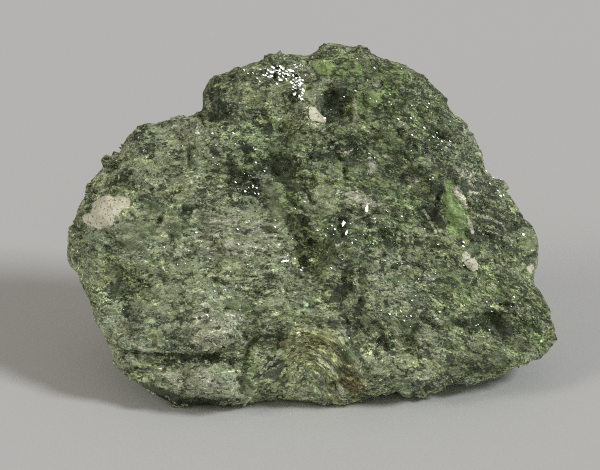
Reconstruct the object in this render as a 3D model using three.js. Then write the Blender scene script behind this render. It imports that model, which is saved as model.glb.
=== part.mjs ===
// A hand specimen of granular diopside: one broken lump of green pyroxene rock.
// Millimetres, +Z up. It stands on a flat break under its lower edge, its broad
// face towards -Y and leaning back. The origin is on the ground, under the middle
// of the specimen's bounding box.
//
// The lump is described as a solid field, which is negative inside the stone. The
// broad face is drawn in its own leaning frame: u runs to the right along it, v
// climbs it and w goes into the stone, square to it. The field is then meshed with
// a surface net, which gives evenly sized facets.

import * as THREE from "three";

// Driving dimensions

const FACE_LEAN = THREE.MathUtils.degToRad(27); // of the broad face, from upright
const FACET = 1.72; // side of a surface net cell
const EDGE_BLEND = 0.5; // how far a broken edge is worn round
const SPAN = { low: [-36, -6.4, -4.7], high: [36, 38, 48] }; // what the net covers

// The outline of the broad face, clockwise from the notch in its upper left side.
const OUTLINE = [
  [-14.1, 38.4], [-15.6, 42.2], [-13.5, 43.8], [-10.7, 44.0], [-9.7, 47.4],
  [-6.8, 50.2], [-1.8, 47.4], [0.7, 47.1], [2.8, 48.2], [5.8, 47.9],
  [8.6, 45.5], [12.3, 45.1], [14.9, 42.1], [16.7, 40.7], [18.2, 38.3],
  [20.6, 37.7], [21.7, 35.6], [22.2, 34.2], [23.3, 31.8], [24.0, 29.6],
  [26.3, 30.0], [26.8, 27.5], [27.6, 24.9], [29.9, 23.5], [30.0, 20.8],
  [30.3, 18.9], [28.2, 17.3], [29.7, 15.3], [30.6, 13.5], [31.9, 11.1],
  [31.8, 9.0], [30.8, 7.9], [28.2, 6.5], [26.0, 4.9], [23.0, 5.1],
  [18.6, 3.4], [14.1, 2.1], [12.1, 1.6], [11.1, 3.3], [7.5, 4.7],
  [6.1, 1.6], [3.3, -1.5], [-0.9, -1.9], [-3.5, 1.2], [-6.6, 0.5],
  [-9.6, -1.0], [-13.6, -0.7], [-17.4, 0.0], [-19.5, 0.9], [-20.9, 2.3],
  [-23.4, 5.0], [-26.8, 5.8], [-25.8, 8.7], [-28.5, 9.0], [-29.4, 11.3],
  [-28.5, 14.2], [-31.2, 15.1], [-31.2, 17.4], [-32.8, 18.5], [-33.0, 21.4],
  [-32.9, 24.2], [-30.7, 26.4], [-28.0, 27.1], [-27.9, 29.3], [-26.3, 31.5],
  [-24.4, 33.3], [-24.3, 36.6], [-22.2, 38.3], [-18.8, 39.3], [-16.8, 39.9],
];

// The outline is where the stone is widest. In front of that rim it narrows as a
// worn bevel, and behind it the sides draw in towards the back.
const WORN_OFF = 0.75; // mm that the bevel and the chips take off the outline
const RIM_DEPTH = 2.0; // of the rim behind the broad face
const BEVEL_IN = 0.7; // narrowing per mm in front of the rim
const SIDE_DRAW_IN = 0.34; // narrowing per mm behind the rim

// The plates of the broad face. Each passes through a point [u, v, w] and falls
// back by the slopes [per mm of u, per mm of v].
const FACE_PLATES = [
  { at: [-14, 18, 1.6], slope: [-0.1, 0.03] }, // pale, smooth lower left
  { at: [-20, 34, 3.2], slope: [-0.14, 0.3] }, // left shoulder
  { at: [8, 33, 1.4], slope: [0.05, 0.1] }, // dark, rough upper right
  { at: [20, 10, 1.8], slope: [0.13, -0.05] }, // lower right
  { at: [-27.4, 13, 2.8], slope: [-1.35, -0.15] }, // left end, turned away
  { at: [21.4, 24, 3.2], slope: [0.55, 0.12] }, // right end, turned away
  { at: [2, 45.4, 3.6], slope: [0.02, 0.6] }, // crest
  { at: [0, 2.4, 2.0], slope: [0.0, -0.9] }, // toe, tucked under
  { at: [26, 6.2, 3.4], slope: [0.4, -1.1] }, // underside of the right end
];

// The plates of the back, in the upright frame: a point on each and the way it faces.
const BACK_PLATES = [
  { at: [6, 33.0, 12], faces: [0.1, 1, 0.04] },
  { at: [-18, 30.0, 10], faces: [-0.5, 0.84, 0.1] },
  { at: [24, 28.5, 10], faces: [0.66, 0.74, 0.05] },
  { at: [4, 31.8, 39], faces: [0.1, 0.64, 0.74] },
  { at: [-20, 27.5, 32.4], faces: [-0.34, 0.58, 0.72] },
  { at: [22, 27, 30], faces: [0.62, 0.5, 0.5] },
  { at: [2, 31.6, 2.2], faces: [0.05, 0.66, -0.75] },
];

// Lumps stand proud of the face and hollows are sunk into it, where "raise" is less
// than nothing. Each is an oval of the given half sizes, turned anticlockwise.
const LUMPS = [
  { at: [-12.4, 10.4], size: [4.2, 2.4], turn: 12, raise: 1.5 }, // lens above the ledge
  { at: [-16.5, 3.6], size: [8.5, 2.8], turn: -6, raise: 0.9 }, // lump under the ledge
  { at: [-4.4, 26.6], size: [3.4, 2.4], turn: 20, raise: 1.0 }, // green knot in the middle
  { at: [-8.0, 42.0], size: [4.5, 3.0], turn: 25, raise: 0.9 }, // head of the upper block
  { at: [-1.2, 43.6], size: [2.6, 2.2], turn: 0, raise: 0.7 },
  { at: [10.2, 40.6], size: [5.0, 2.4], turn: -30, raise: 0.8 },
  { at: [15.4, 33.4], size: [5.5, 2.6], turn: -35, raise: 1.0 },
  { at: [20.6, 26.0], size: [1.9, 3.4], turn: 22, raise: 0.9 }, // bright green crystal
  { at: [-22.6, 31.2], size: [3.0, 2.4], turn: 10, raise: 0.8 },
  { at: [-26.8, 26.0], size: [3.4, 2.2], turn: 30, raise: 0.7 }, // under the cream patch
  { at: [-18.0, 22.0], size: [7.0, 4.0], turn: 8, raise: 0.7 },
  { at: [13.0, 12.0], size: [6.0, 3.6], turn: -15, raise: 0.9 },
  { at: [12.4, 4.6], size: [5.0, 2.2], turn: 8, raise: 0.8 },
  { at: [21.6, 6.2], size: [4.2, 2.0], turn: 20, raise: 0.7 },
  { at: [27.2, 13.6], size: [3.0, 2.6], turn: 0, raise: 0.9 },
  { at: [2.7, 39.7], size: [2.6, 2.2], turn: -20, raise: -1.9 }, // beside the cream chip
  { at: [-5.0, 32.4], size: [3.2, 1.9], turn: -12, raise: -1.6 }, // dark hollow
  { at: [-13.0, 34.6], size: [1.6, 3.4], turn: -8, raise: -1.2 }, // foot of the notch
  { at: [-0.8, 20.6], size: [2.0, 4.2], turn: -14, raise: -1.1 },
  { at: [4.6, 16.4], size: [1.5, 3.4], turn: -8, raise: -1.2 },
  { at: [25.4, 10.4], size: [3.0, 2.0], turn: -10, raise: -1.3 }, // dark right hollow
  { at: [29.4, 19.2], size: [1.8, 1.8], turn: 0, raise: -1.4 }, // nick in the right side
  { at: [16.6, 27.4], size: [1.4, 3.0], turn: 30, raise: -1.1 },
  { at: [-25.6, 14.6], size: [2.2, 3.4], turn: 20, raise: -0.9 },
  { at: [-14.4, 5.9], size: [7.5, 1.6], turn: 2, raise: -1.3 }, // shade under the ledge
  { at: [-1.6, 6.6], size: [4.2, 2.4], turn: -25, raise: -1.2 }, // inside the fold
  { at: [9.6, 2.6], size: [2.2, 1.8], turn: 0, raise: -1.2 }, // arch in the toe
];

// Steps are broken edges across the face. The stone on the left hand of the line,
// walking from its first point to its last, stands proud by "raise" (on the right
// hand where "side" is -1). That changes evenly along the line, dies away at its two
// ends, and fades out over "fade" mm behind the edge.
const STEP_END = 3.5; // mm over which a step dies away at an end
const STEPS = [
  {
    line: [[5.4, 13.4], [4.2, 18], [0.4, 22.4], [-2.2, 26.4], [-5, 30], [-9.4, 31.6], [-14, 33.4],
      [-15.2, 38.6], [-15.4, 47]],
    raise: [0.5, 3.4],
    width: 1.4,
    fade: 9,
    side: -1,
  }, // the dark upper block over the pale plate
  {
    line: [[-27.4, 8.4], [-23.3, 7.5], [-18.1, 7.3], [-13.3, 7.4], [-11.2, 8.1], [-8.6, 9.0]],
    raise: [1.4, 2.6],
    width: 1.3,
    fade: 5,
    side: 1,
  }, // the ledge at the lower left
  {
    line: [[-8.6, 9.0], [-6.4, 10.5], [-3.6, 10.3], [-0.8, 9.8], [2.4, 8.5], [4.6, 6.0],
      [6.2, 2.6]],
    raise: [2.2, 1.2],
    width: 1.3,
    fade: 4.5,
    side: 1,
  }, // the fold beside it
  {
    line: [[14.2, 36], [16.6, 31], [19.2, 26.6], [22.0, 22.0], [22.6, 18.6]],
    raise: [0.6, 1.1],
    width: 0.8,
    fade: 5,
    side: -1,
  }, // the brow before the right end
];

// Broken grain, coarse enough to show in the outline: flat chips of stone, each tipped
// its own way, over slow swells.
const CHIPS = [
  { size: 9.5, tip: 0.24 },
  { size: 4.8, tip: 0.24 },
];
const CHIP_EDGE = 0.55; // how gently a chip runs into the next one
const CHIPS_ON_FACE = 0.6; // their height on the broad face, of that on the other sides
const CHIPS_CHANGE = 6; // mm behind the rim over which they reach their full height
const SWELL = { size: 13, height: 0.7, octaves: 2 };
const GRAIN_REACH = 5; // how near the surface the grain is worked out

// The underside is the flat break that the stone stands on, at the height GROUND below
// the origin of the face's frame. Its middle is a boss with a wholly flat disc, which
// widens upwards by "flare" per mm until it is "deep" in the stone. Round the disc the
// break is hollowed away in places, more so with a greater "bias".
const GROUND = -1.9;
const FOOT = {
  at: [0.5, 13.5],
  flat: 6.5,
  flare: 0.4,
  deep: 6,
  hollow: 1.5,
  size: 8,
  bias: 0.12,
  merge: 5,
};

// The net
const SHAPING = { rounds: 4, relax: 0.35 };
const UNFOLDING = { rounds: 5, relax: 0.6, sharpest: 0.3 }; // sharpest is a cosine
const GROUND_SNAP = 0.15; // points less than this above the ground are set on it

// Repeatable noise

/** A number from 0 to 1 that belongs to a lattice point. */
function hash(i, j, k, salt) {
  let h = Math.imul(i, 374761393) ^ Math.imul(j, 668265263) ^ Math.imul(k, 2147483647);
  h = Math.imul(h ^ Math.imul(salt, 974634777), 1274126177);
  h = Math.imul(h ^ (h >>> 15), 2246822519);
  h = Math.imul(h ^ (h >>> 13), 3266489917);
  return ((h ^ (h >>> 16)) >>> 0) / 4294967295;
}

const ease = (t) => t * t * (3 - 2 * t);
const mix = (a, b, t) => a + (b - a) * t;

/** Smooth noise from -1 to 1, with swells about one unit long. */
function noise(x, y, z, salt) {
  const [i, j, k] = [Math.floor(x), Math.floor(y), Math.floor(z)];
  const [a, b, c] = [ease(x - i), ease(y - j), ease(z - k)];
  const row = (dj, dk) => mix(hash(i, j + dj, k + dk, salt), hash(i + 1, j + dj, k + dk, salt), a);
  return 2 * mix(mix(row(0, 0), row(1, 0), b), mix(row(0, 1), row(1, 1), b), c) - 1;
}

/** Swells over several octaves, each half as long and half as high as the last. */
function swells(x, y, z, { size, height, octaves }) {
  let total = 0;
  for (let o = 0; o < octaves; o++) {
    const f = 2 ** o / size;
    total += (noise(x * f, y * f, z * f, 11 + o) * height) / 2 ** o;
  }
  return total;
}

/** The height of the tipped chip nearest to a point, blended with the next at its edge. */
function chips(x, y, z, { size, tip }, salt) {
  const [i, j, k] = [x, y, z].map((c) => Math.floor(c / size));
  const found = [];
  for (let a = i - 1; a <= i + 1; a++)
    for (let b = j - 1; b <= j + 1; b++)
      for (let c = k - 1; c <= k + 1; c++) {
        const dx = x - (a + hash(a, b, c, salt)) * size;
        const dy = y - (b + hash(a, b, c, salt + 1)) * size;
        const dz = z - (c + hash(a, b, c, salt + 2)) * size;
        const way = (n) => 2 * hash(a, b, c, salt + n) - 1;
        const height = way(3) * dx + way(4) * dy + way(5) * dz + way(6) * size * 0.3;
        found.push({ gap: Math.hypot(dx, dy, dz), height });
      }
  const nearest = Math.min(...found.map((f) => f.gap));
  let [total, weights] = [0, 0];
  for (const { gap, height } of found) {
    const weight = Math.exp((nearest - gap) / CHIP_EDGE);
    total += weight * height;
    weights += weight;
  }
  return (tip * total) / weights;
}

// Shapes in the plane of the face

/** The distance from a point to a segment, and how far along it the nearest point is. */
function toSegment(u, v, [au, av], [bu, bv]) {
  const [du, dv] = [bu - au, bv - av];
  const t = THREE.MathUtils.clamp(((u - au) * du + (v - av) * dv) / (du * du + dv * dv), 0, 1);
  return { gap: Math.hypot(u - au - t * du, v - av - t * dv), t };
}

/** The distance from a point to the outline, less than nothing inside it. */
function outsideOutline(u, v) {
  let gap = Infinity;
  let inside = false;
  OUTLINE.forEach((b, n) => {
    const a = OUTLINE[(n + OUTLINE.length - 1) % OUTLINE.length];
    gap = Math.min(gap, toSegment(u, v, a, b).gap);
    const across = a[1] > v !== b[1] > v;
    if (across && u < a[0] + ((b[0] - a[0]) * (v - a[1])) / (b[1] - a[1])) inside = !inside;
  });
  return inside ? -gap : gap;
}

/** How far a lump or hollow raises the face at a point. */
function lumpAt(u, v, { at, size, turn, raise }) {
  const angle = THREE.MathUtils.degToRad(turn);
  const [du, dv] = [u - at[0], v - at[1]];
  const along = (du * Math.cos(angle) + dv * Math.sin(angle)) / size[0];
  const across = (dv * Math.cos(angle) - du * Math.sin(angle)) / size[1];
  return raise * Math.exp(-((along * along + across * across) ** 1.5));
}

/** How far a step raises the face at a point. */
function stepAt(u, v, { line, raise, width, fade, side }) {
  let best = { gap: Infinity };
  for (let n = 0; n + 1 < line.length; n++) {
    const found = toSegment(u, v, line[n], line[n + 1]);
    if (found.gap < best.gap) best = { ...found, n };
  }
  const [a, b] = [line[best.n], line[best.n + 1]];
  const left = (b[0] - a[0]) * (v - a[1]) - (b[1] - a[1]) * (u - a[0]) > 0;
  const behind = side * (left ? best.gap : -best.gap);
  const rise = ease(THREE.MathUtils.clamp(behind / width / 2 + 0.5, 0, 1));
  const share = (best.n + best.t) / (line.length - 1);
  const [head, tail] = [line[0], line[line.length - 1]];
  const [onU, onV] = [mix(a[0], b[0], best.t), mix(a[1], b[1], best.t)];
  const fromEnd = Math.min(
    Math.hypot(onU - head[0], onV - head[1]),
    Math.hypot(onU - tail[0], onV - tail[1]),
  );
  const held = ease(THREE.MathUtils.clamp(fromEnd / STEP_END, 0, 1));
  return held * mix(raise[0], raise[1], share) * rise * Math.exp(-Math.max(behind, 0) / fade);
}

/** The greater of two numbers, with the corner between them rounded. */
function roundedMax(a, b, blend) {
  const near = Math.max(blend - Math.abs(a - b), 0) / blend;
  return Math.max(a, b) + (near * near * blend) / 4;
}

// The stone

/** The depth of the plates of the broad face under a point of its plane. */
function plateDepth(u, v) {
  let depth = -Infinity;
  for (const { at, slope } of FACE_PLATES) {
    const plate = at[2] + slope[0] * (u - at[0]) + slope[1] * (v - at[1]);
    depth = Number.isFinite(depth) ? roundedMax(depth, plate, EDGE_BLEND) : plate;
  }
  return depth;
}

/** How far the lumps, hollows and steps raise the broad face at a point. */
function relief(u, v) {
  let raised = 0;
  for (const lump of LUMPS) raised += lumpAt(u, v, lump);
  for (const step of STEPS) raised += stepAt(u, v, step);
  return raised;
}

/** How far above the ground the underside is at a point. */
function underside(x, y) {
  const clear = Math.hypot(x - FOOT.at[0], y - FOOT.at[1]) - FOOT.flat;
  const wave = noise(x / FOOT.size, y / FOOT.size, 0.5, 71) + FOOT.bias;
  return FOOT.hollow * Math.max(wave, 0) * ease(THREE.MathUtils.clamp(clear / FOOT.merge, 0, 1));
}

/** How far outside the boss of the underside a point is. */
function outsideBoss(x, y, z) {
  const height = z - GROUND;
  const beside = Math.hypot(x - FOOT.at[0], y - FOOT.at[1]) - FOOT.flat - FOOT.flare * height;
  return Math.max(beside, height - FOOT.deep);
}

/** The height of the chips, of their full height, at a depth behind the rim. */
function chipShare(pastRim) {
  const behind = THREE.MathUtils.clamp(pastRim / CHIPS_CHANGE + 0.5, 0, 1);
  return mix(CHIPS_ON_FACE, 1, ease(behind));
}

/** The solid field in the upright frame: less than nothing inside the stone. */
function field(x, y, z) {
  const [cos, sin] = [Math.cos(FACE_LEAN), Math.sin(FACE_LEAN)];
  const [u, v, w] = [x, z * cos + y * sin, y * cos - z * sin];
  const front = plateDepth(u, v);
  const pastRim = w - front - RIM_DEPTH;
  const drawIn = (pastRim > 0 ? SIDE_DRAW_IN : -BEVEL_IN) * pastRim - WORN_OFF;
  let stone = roundedMax(outsideOutline(u, v) + drawIn, front - relief(u, v) - w, EDGE_BLEND);
  for (const { at, faces } of BACK_PLATES) {
    const [dx, dy, dz] = [x - at[0], y - at[1], z - at[2]];
    const out = (dx * faces[0] + dy * faces[1] + dz * faces[2]) / Math.hypot(...faces);
    stone = roundedMax(stone, out, EDGE_BLEND);
  }
  if (Math.abs(stone) < GRAIN_REACH) {
    stone -= swells(x, y, z, SWELL);
    CHIPS.forEach((chip, n) => {
      stone -= chips(x, y, z, chip, 31 + 10 * n) * chipShare(pastRim);
    });
  }
  return Math.max(Math.min(stone, outsideBoss(x, y, z)), GROUND + underside(x, y) - z);
}

// Meshing

const TOUCH = -0.05; // the field's value at a node that is filled

/** The nodes to fill where two diagonal nodes of a cell's side are stone and two are not. */
function pinchedSide(cell, values, node) {
  for (let axis = 0; axis < 3; axis++) {
    const side = [[0, 0], [1, 0], [1, 1], [0, 1]].map(([p, q]) => {
      const at = [...cell];
      at[(axis + 1) % 3] += p;
      at[(axis + 2) % 3] += q;
      return node(...at);
    });
    const [a, b, c, d] = side.map((n) => values[n] < 0);
    if (a === c && b === d && a !== b) return side;
  }
  return [];
}

/** The nodes to fill where only two opposite nodes of a cell are stone, or only they are not. */
function pinchedCell([i, j, k], values, node) {
  const corners = [0, 1, 2, 3, 4, 5, 6, 7].map((n) => node(i + (n & 1), j + ((n >> 1) & 1), k + (n >> 2)));
  const stone = corners.map((n) => values[n] < 0);
  const count = stone.filter(Boolean).length;
  for (let n = 0; n < 4; n++) {
    if (count === 2 && stone[n] && stone[7 - n]) return [corners[n ^ 1], corners[n ^ 3]];
    if (count === 6 && !stone[n] && !stone[7 - n]) return [corners[n]];
  }
  return [];
}

/** Fills the net's nodes until the stone touches itself nowhere at a mere edge or point. */
function fillPinches(values, count, node) {
  let filled = 1;
  while (filled) {
    filled = 0;
    for (let k = 1; k + 1 < count[2]; k++)
      for (let j = 1; j + 1 < count[1]; j++)
        for (let i = 1; i + 1 < count[0]; i++)
          for (const find of [pinchedSide, pinchedCell])
            for (const n of find([i, j, k], values, node)) {
              values[n] = Math.min(values[n], TOUCH);
              filled += 1;
            }
  }
}

/** Fills every node that is not stone and can't be reached from outside. */
function fillVoids(values, count, node) {
  const open = new Uint8Array(values.length);
  const next = [[0, 0, 0]];
  open[node(0, 0, 0)] = 1;
  while (next.length) {
    const from = next.pop();
    for (let axis = 0; axis < 3; axis++)
      for (const step of [-1, 1]) {
        const to = [...from];
        to[axis] += step;
        if (to[axis] < 0 || to[axis] >= count[axis]) continue;
        const n = node(...to);
        if (open[n] || values[n] < 0) continue;
        open[n] = 1;
        next.push(to);
      }
  }
  for (let n = 0; n < values.length; n++) if (!open[n]) values[n] = Math.min(values[n], TOUCH);
}

/** The surface net of the field: one point in each cell that the surface crosses. */
function surfaceNet(value, { low, high }, cell) {
  const count = low.map((l, n) => Math.ceil((high[n] - l) / cell) + 1);
  const node = (i, j, k) => i + count[0] * (j + count[1] * k);
  const at = (i, j, k) => [low[0] + i * cell, low[1] + j * cell, low[2] + k * cell];
  const values = new Float64Array(count[0] * count[1] * count[2]);
  for (let k = 0; k < count[2]; k++)
    for (let j = 0; j < count[1]; j++)
      for (let i = 0; i < count[0]; i++) values[node(i, j, k)] = value(...at(i, j, k));
  fillPinches(values, count, node);
  fillVoids(values, count, node);

  const points = [];
  const pointOf = new Map();
  for (let k = 0; k + 1 < count[2]; k++)
    for (let j = 0; j + 1 < count[1]; j++)
      for (let i = 0; i + 1 < count[0]; i++) {
        const sum = new THREE.Vector3();
        let crossings = 0;
        for (let axis = 0; axis < 3; axis++)
          for (let corner = 0; corner < 4; corner++) {
            const a = [i, j, k];
            a[(axis + 1) % 3] += corner & 1;
            a[(axis + 2) % 3] += corner >> 1;
            const b = [...a];
            b[axis] += 1;
            const [fa, fb] = [values[node(...a)], values[node(...b)]];
            if (fa < 0 === fb < 0) continue;
            sum.add(new THREE.Vector3(...at(...a)).lerp(new THREE.Vector3(...at(...b)), fa / (fa - fb)));
            crossings += 1;
          }
        if (!crossings) continue;
        pointOf.set(node(i, j, k), points.length);
        points.push(sum.divideScalar(crossings));
      }

  const quads = [];
  for (let k = 1; k + 1 < count[2]; k++)
    for (let j = 1; j + 1 < count[1]; j++)
      for (let i = 1; i + 1 < count[0]; i++)
        for (let axis = 0; axis < 3; axis++) {
          const here = [i, j, k];
          const next = [...here];
          next[axis] += 1;
          const inHere = values[node(...here)] < 0;
          if (inHere === values[node(...next)] < 0) continue;
          const ring = [[0, 0], [1, 0], [1, 1], [0, 1]].map(([p, q]) => {
            const cellAt = [...here];
            cellAt[(axis + 1) % 3] -= p;
            cellAt[(axis + 2) % 3] -= q;
            return pointOf.get(node(...cellAt));
          });
          quads.push(inHere ? ring : ring.reverse());
        }
  return { points, quads };
}

/** Moves each point part of the way to the middle of its neighbours, which evens the net. */
function relax({ points, quads }, share) {
  const sums = points.map(() => ({ total: new THREE.Vector3(), count: 0 }));
  for (const quad of quads)
    quad.forEach((a, n) => {
      sums[a].total.add(points[quad[(n + 1) % 4]]).add(points[quad[(n + 3) % 4]]);
      sums[a].count += 2;
    });
  points.forEach((p, n) => p.lerp(sums[n].total.divideScalar(sums[n].count), share));
}

/** Moves each point towards the surface, by a short step along the field's slope. */
function settle({ points }, value, cell) {
  const reach = cell * 0.25;
  for (const p of points) {
    const slope = new THREE.Vector3(
      value(p.x + reach, p.y, p.z) - value(p.x - reach, p.y, p.z),
      value(p.x, p.y + reach, p.z) - value(p.x, p.y - reach, p.z),
      value(p.x, p.y, p.z + reach) - value(p.x, p.y, p.z - reach),
    ).divideScalar(2 * reach);
    const steepness = Math.max(slope.length(), 0.8);
    const move = value(p.x, p.y, p.z) / steepness;
    slope.divideScalar(steepness);
    p.addScaledVector(slope, -THREE.MathUtils.clamp(move, -cell / 4, cell / 4));
  }
}

/** Smooths the points where the net folds over itself or stands up as a thin spike. */
function unfold({ points, quads }) {
  const facings = points.map(() => []);
  const around = points.map(() => []);
  for (const quad of quads) {
    const [a, b, c, d] = quad.map((n) => points[n]);
    const facing = c.clone().sub(a).cross(d.clone().sub(b)).normalize();
    quad.forEach((p, n) => {
      facings[p].push(facing);
      around[p].push(points[quad[(n + 1) % 4]], points[quad[(n + 3) % 4]]);
    });
  }
  const { sharpest } = UNFOLDING;
  const sharp = facings.map((all) => all.some((f) => all.some((g) => f.dot(g) < sharpest)));
  const middles = around.map((ring) => {
    const sum = ring.reduce((total, p) => total.add(p), new THREE.Vector3());
    return sum.divideScalar(ring.length);
  });
  points.forEach((p, n) => {
    if (sharp[n]) p.lerp(middles[n], UNFOLDING.relax);
  });
}

/** Two triangles for each quad, split across its shorter diagonal unless that is taken. */
function triangulate({ points, quads }) {
  const taken = new Set();
  const name = (a, b) => (a < b ? `${a} ${b}` : `${b} ${a}`);
  const index = quads.flatMap(([a, b, c, d]) => {
    const shorter = points[a].distanceTo(points[c]) < points[b].distanceTo(points[d]);
    const acrossAC = taken.has(name(b, d)) || (shorter && !taken.has(name(a, c)));
    taken.add(acrossAC ? name(a, c) : name(b, d));
    return acrossAC ? [a, b, c, a, c, d] : [a, b, d, b, c, d];
  });
  const geometry = new THREE.BufferGeometry();
  geometry.setAttribute(
    "position",
    new THREE.Float32BufferAttribute(points.flatMap((p) => p.toArray()), 3),
  );
  geometry.setIndex(index);
  return geometry;
}

function makeSpecimen() {
  const net = surfaceNet(field, SPAN, FACET);
  for (let round = 0; round < SHAPING.rounds; round++) {
    relax(net, SHAPING.relax);
    settle(net, field, FACET);
  }
  for (let round = 0; round < UNFOLDING.rounds; round++) unfold(net);
  for (const p of net.points) if (p.z < GROUND + GROUND_SNAP) p.z = GROUND;
  const geometry = triangulate(net);
  geometry.computeBoundingBox();
  const { min, max } = geometry.boundingBox;
  geometry.translate(-(min.x + max.x) / 2, -(min.y + max.y) / 2, -min.z);
  geometry.computeVertexNormals();
  const granularDiopside = new THREE.MeshStandardMaterial({
    color: new THREE.Color(0.26, 0.33, 0.22),
    roughness: 0.55,
    metalness: 0,
    flatShading: true,
  });
  const mesh = new THREE.Mesh(geometry, granularDiopside);
  mesh.name = "diopside_rock";
  return mesh;
}

const specimen = new THREE.Group();
specimen.add(makeSpecimen());

export default specimen;
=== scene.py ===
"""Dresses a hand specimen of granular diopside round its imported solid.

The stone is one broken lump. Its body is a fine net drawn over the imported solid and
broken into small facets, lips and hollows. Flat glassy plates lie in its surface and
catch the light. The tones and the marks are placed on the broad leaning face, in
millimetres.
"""

import logging
import math
from dataclasses import dataclass, field
from enum import Enum

import bpy
import numpy as np
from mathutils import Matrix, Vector
from mathutils.kdtree import KDTree


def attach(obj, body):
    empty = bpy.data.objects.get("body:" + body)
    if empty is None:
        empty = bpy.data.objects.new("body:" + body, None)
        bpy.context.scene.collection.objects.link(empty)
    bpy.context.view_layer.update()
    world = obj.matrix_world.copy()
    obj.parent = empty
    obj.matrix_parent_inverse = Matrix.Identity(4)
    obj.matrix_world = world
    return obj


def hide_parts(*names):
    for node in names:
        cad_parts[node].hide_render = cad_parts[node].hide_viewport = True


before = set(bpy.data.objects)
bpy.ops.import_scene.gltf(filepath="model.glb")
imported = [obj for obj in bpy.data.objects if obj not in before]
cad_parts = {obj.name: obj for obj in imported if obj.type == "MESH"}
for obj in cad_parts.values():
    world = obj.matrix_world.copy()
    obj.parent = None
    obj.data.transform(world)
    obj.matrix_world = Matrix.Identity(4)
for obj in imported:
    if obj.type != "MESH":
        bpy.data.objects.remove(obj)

log = logging.getLogger("diopside")

MM = 0.001  # metres in a millimetre
Array = np.ndarray
Socket = bpy.types.NodeSocket
Inputs = dict[str | int, object]  # what goes into a node's sockets
Span = tuple[object, object]  # two numbers or sockets, for a begin and an end
PatchSizes = tuple[float, ...]  # the fields of a Patch in turn


# The frame of the broad face


@dataclass(frozen=True)
class FaceFrame:
    """The leaning plane of the broad face: u to the right, v up it, w into the stone.

    Attributes:
        lean: the face's lean from upright, in radians.
        foot: where u, v and w are 0 in the row frame, in millimetres.
        fall: how steeply the banding falls on the right, from where, and how gently it starts.
        fold: how far the banding is folded low in the middle.
        folded: the fold's middle, u and v, and its half width and half height.
    """

    lean: float = math.radians(27.0)
    foot: tuple[float, float, float] = (-0.0015, -18.3783, 1.9)
    fall: tuple[float, float, float] = (0.33, 7.0, 4.0)
    fold: float = 0.95
    folded: tuple[float, float, float, float] = (3.0, 5.0, 5.0, 4.5)

    def axes(self) -> Array:
        """The unit vectors of u, v and w in the row frame, as rows."""
        cos, sin = math.cos(self.lean), math.sin(self.lean)
        return np.array([[1.0, 0.0, 0.0], [0.0, sin, cos], [0.0, cos, -sin]])

    def of(self, points: Array) -> Array:
        """Gives points of the row frame in the frame of the face.

        Args:
            points: n rows of x, y and z in millimetres.

        Returns:
            n rows of u, v and w in millimetres.
        """
        return (points - np.array(self.foot)) @ self.axes().T

    def to_row(self, places: Array) -> Array:
        """Gives points of the face's frame in the row frame.

        Args:
            places: n rows of u, v and w in millimetres.

        Returns:
            n rows of x, y and z in millimetres.
        """
        return places @ self.axes() + np.array(self.foot)

    def banding(self, places: Array) -> Array:
        """Gives places in coordinates that follow the banding of the rock.

        The banding is level on the left, falls to the right on the right, and falls
        steeply where the rock is folded low in the middle.

        Args:
            places: n rows of u, v and w in millimetres.

        Returns:
            n rows: along the bands, across them, and into the stone.
        """
        u, v, w = places.T
        slope, start, soft = self.fall
        fall = slope * soft * np.logaddexp(0.0, (u - start) / soft)
        middle, height, wide, high = self.folded
        fold = np.exp(-(((u - middle) / wide) ** 2) - ((v - height) / high) ** 2)
        return np.stack([u, v + fall + self.fold * (u - middle) * fold, w], axis=1)


FACE = FaceFrame()


# Repeatable noise


# Large odd numbers that stir the bits of a lattice cell's three numbers and of the seed
STIR = (374761393, 668265263, 2147483647)
STIR_SEED = 974634777
STIR_AGAIN = ((15, 2246822519), (13, 3266489917))


def lattice(cells: Array, seed: int) -> Array:
    """Gives each lattice cell a number that is always the same.

    Args:
        cells: whole numbers, three in the last axis.
        seed: which set of numbers to give.

    Returns:
        Numbers from 0 to 1, with the last axis gone.
    """
    part = cells.astype(np.int64).astype(np.uint32)
    with np.errstate(over="ignore"):
        mixed = np.uint32((seed * STIR_SEED) & 0xFFFFFFFF)
        for axis, stir in enumerate(STIR):
            mixed = mixed ^ part[..., axis] * np.uint32(stir)
        for shift, stir in STIR_AGAIN:
            mixed = (mixed ^ (mixed >> np.uint32(shift))) * np.uint32(stir)
    return (mixed ^ (mixed >> np.uint32(16))) / 0xFFFFFFFF


def ease(t: Array) -> Array:
    """A smooth rise from 0 to 1 as t goes from 0 to 1."""
    t = np.clip(t, 0.0, 1.0)
    return t * t * (3.0 - 2.0 * t)


def swell(points: Array, size: float, seed: int, octaves: int = 3) -> Array:
    """Smooth noise over several octaves.

    Args:
        points: n rows of coordinates in millimetres.
        size: the length of the longest swells, in millimetres.
        seed: which noise to give.
        octaves: how many lengths of swell are added, each half the last.

    Returns:
        n numbers, mostly from -1 to 1.
    """
    total = np.zeros(len(points))
    for octave in range(octaves):
        at = points * (2**octave / size)
        low = np.floor(at).astype(np.int64)
        share = ease(at - low)
        value = np.zeros(len(points))
        for corner in np.ndindex(2, 2, 2):
            weight = np.prod(np.where(corner, share, 1.0 - share), axis=1)
            value += weight * lattice(low + np.array(corner), seed + 17 * octave)
        total += (2.0 * value - 1.0) / 2**octave
    return total


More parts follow.
